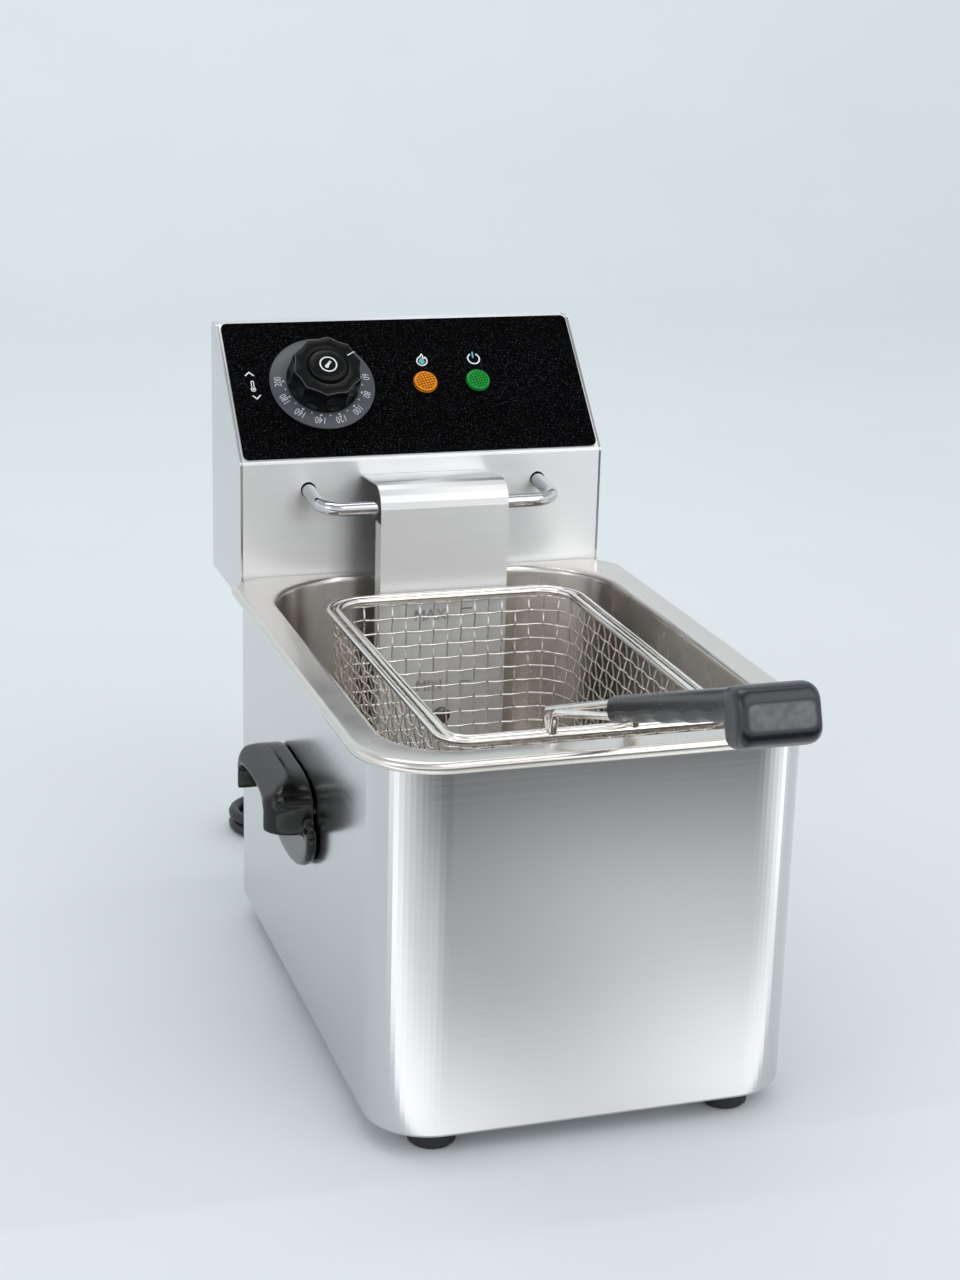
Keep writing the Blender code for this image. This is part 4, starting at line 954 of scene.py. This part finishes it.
world = bpy.data.worlds.new("studio")
bpy.context.scene.world = world
world.use_nodes = True
wn = world.node_tree
back = wn.nodes["Background"]
co = wn.nodes.new("ShaderNodeTexCoord")
sep = wn.nodes.new("ShaderNodeSeparateXYZ")
ramp = wn.nodes.new("ShaderNodeValToRGB")
wn.links.new(co.outputs["Generated"], sep.inputs["Vector"])
span = wn.nodes.new("ShaderNodeMapRange")
span.inputs["From Min"].default_value = -1.0
wn.links.new(sep.outputs["X"], span.inputs["Value"])
wn.links.new(span.outputs["Result"], ramp.inputs["Fac"])
ramp.color_ramp.elements[0].position = 0.10
ramp.color_ramp.elements[0].color = (0.88, 0.91, 0.95, 1)
ramp.color_ramp.elements[1].position = 0.50
ramp.color_ramp.elements[1].color = (0.93, 0.945, 0.965, 1)
bands = wn.nodes.new("ShaderNodeValToRGB")        # bright walls under a darker ceiling
bands.color_ramp.interpolation = "EASE"
for k, (height, value) in enumerate(((0.0, 1.0), (0.45, 1.0), (0.62, 0.62), (0.80, 0.62),
                                     (0.94, 0.42))):
    e = bands.color_ramp.elements[0] if k == 0 else bands.color_ramp.elements.new(height)
    e.position = height
    e.color = (value, value, value, 1)
bands.color_ramp.elements.remove(bands.color_ramp.elements[-1])
both = wn.nodes.new("ShaderNodeMixRGB")
both.blend_type = "MULTIPLY"
both.inputs["Fac"].default_value = 1.0
wn.links.new(sep.outputs["Z"], bands.inputs["Fac"])
wn.links.new(ramp.outputs["Color"], both.inputs["Color1"])
wn.links.new(bands.outputs["Color"], both.inputs["Color2"])
wn.links.new(both.outputs["Color"], back.inputs["Color"])
back.inputs["Strength"].default_value = 1.06


def soft_light(name, location, target, size, power, colour=(1, 1, 1)):
    """A rectangular lamp of that size and power, in metres and watts, facing the target."""
    data = bpy.data.lights.new(name, "AREA")
    data.shape = "RECTANGLE"
    data.size, data.size_y = size
    data.energy = power
    data.color = colour
    o = bpy.data.objects.new(name, data)
    bpy.context.scene.collection.objects.link(o)
    o.location = location
    o.rotation_euler = (Vector(target) - Vector(location)).to_track_quat("-Z", "Y").to_euler()


soft_light("key", (0.50, -0.95, 1.50), (0, 0, 0.15), (1.5, 1.1), 5.5)
soft_light("overhead", (-0.15, 0.35, 1.7), (0, 0.1, 0.2), (0.9, 0.9), 3)
soft_light("backdrop", (0, 0.7, 2.7), (0, 3.5, 1.0), (2.6, 0.5), 19)
soft_light("left", (-2.0, -0.9, 1.2), (0, 0, 0.2), (0.9, 1.4), 4, (0.94, 0.97, 1.0))


def reflector(name, corners, across, along, axis):
    """A lit card that only polished surfaces see: brightness ramps along x and along axis."""
    m = bpy.data.materials.new(name)
    m.use_nodes = True
    nt = m.node_tree
    nt.nodes.remove(nt.nodes["Principled BSDF"])
    em = nt.nodes.new("ShaderNodeEmission")
    co = nt.nodes.new("ShaderNodeTexCoord")
    sp = nt.nodes.new("ShaderNodeSeparateXYZ")
    nt.links.new(co.outputs["Object"], sp.inputs["Vector"])
    colour = None
    for out, (low, high), stops in (("X", *across), (axis, *along)):
        mr = nt.nodes.new("ShaderNodeMapRange")
        mr.inputs["From Min"].default_value, mr.inputs["From Max"].default_value = low, high
        rp = nt.nodes.new("ShaderNodeValToRGB")
        rp.color_ramp.interpolation = "EASE"
        ends = rp.color_ramp.elements
        ends[0].position, ends[1].position = stops[0][0], stops[-1][0]
        for k, (pos, v) in enumerate(stops):
            e = ends[0] if k == 0 else ends[len(ends) - 1] if k == len(stops) - 1 else ends.new(pos)
            e.color = (v * 0.98, v * 0.995, v, 1)
        nt.links.new(sp.outputs[out], mr.inputs["Value"])
        nt.links.new(mr.outputs["Result"], rp.inputs["Fac"])
        if colour:
            mx = nt.nodes.new("ShaderNodeMixRGB")
            mx.blend_type = "MULTIPLY"
            mx.inputs["Fac"].default_value = 1.0
            nt.links.new(colour, mx.inputs["Color1"])
            nt.links.new(rp.outputs["Color"], mx.inputs["Color2"])
            nt.links.new(mx.outputs["Color"], em.inputs["Color"])
        colour = rp.outputs["Color"]
    nt.links.new(em.outputs["Emission"], nt.nodes["Material Output"].inputs["Surface"])
    o = mesh(name, corners, [tuple(range(len(corners)))], m)
    o.visible_camera = o.visible_diffuse = o.visible_shadow = False
    o.visible_transmission = o.visible_volume_scatter = False
    return o


reflector("floor_card", [(-2.2, -0.05, 0.0006), (-2.2, -2.6, 0.0006), (1.6, -2.6, 0.0006),
                         (0.9, -0.125, 0.0006), (-0.15, -0.125, 0.0006)],
          ((-0.5, 0.5), ((0.0, 0.95), (0.36, 0.90), (0.50, 0.58), (0.64, 0.84), (0.80, 0.78),
                         (1.0, 1.05))),
          ((-0.12, -0.72), ((0.0, 1.75), (0.35, 1.0), (1.0, 0.06))), "Y")
reflector("front_card", [(1.33, -3.95, 1.15), (2.05, -3.6, 1.15), (2.05, -3.6, 1.75),
                         (1.33, -3.95, 1.75)],
          ((1.33, 2.05), ((0.0, 1.0), (0.25, 8.0), (0.75, 8.0), (1.0, 1.0))),
          ((1.15, 1.75), ((0.0, 0.4), (0.25, 1.0), (0.75, 1.0), (1.0, 0.4))), "Z")
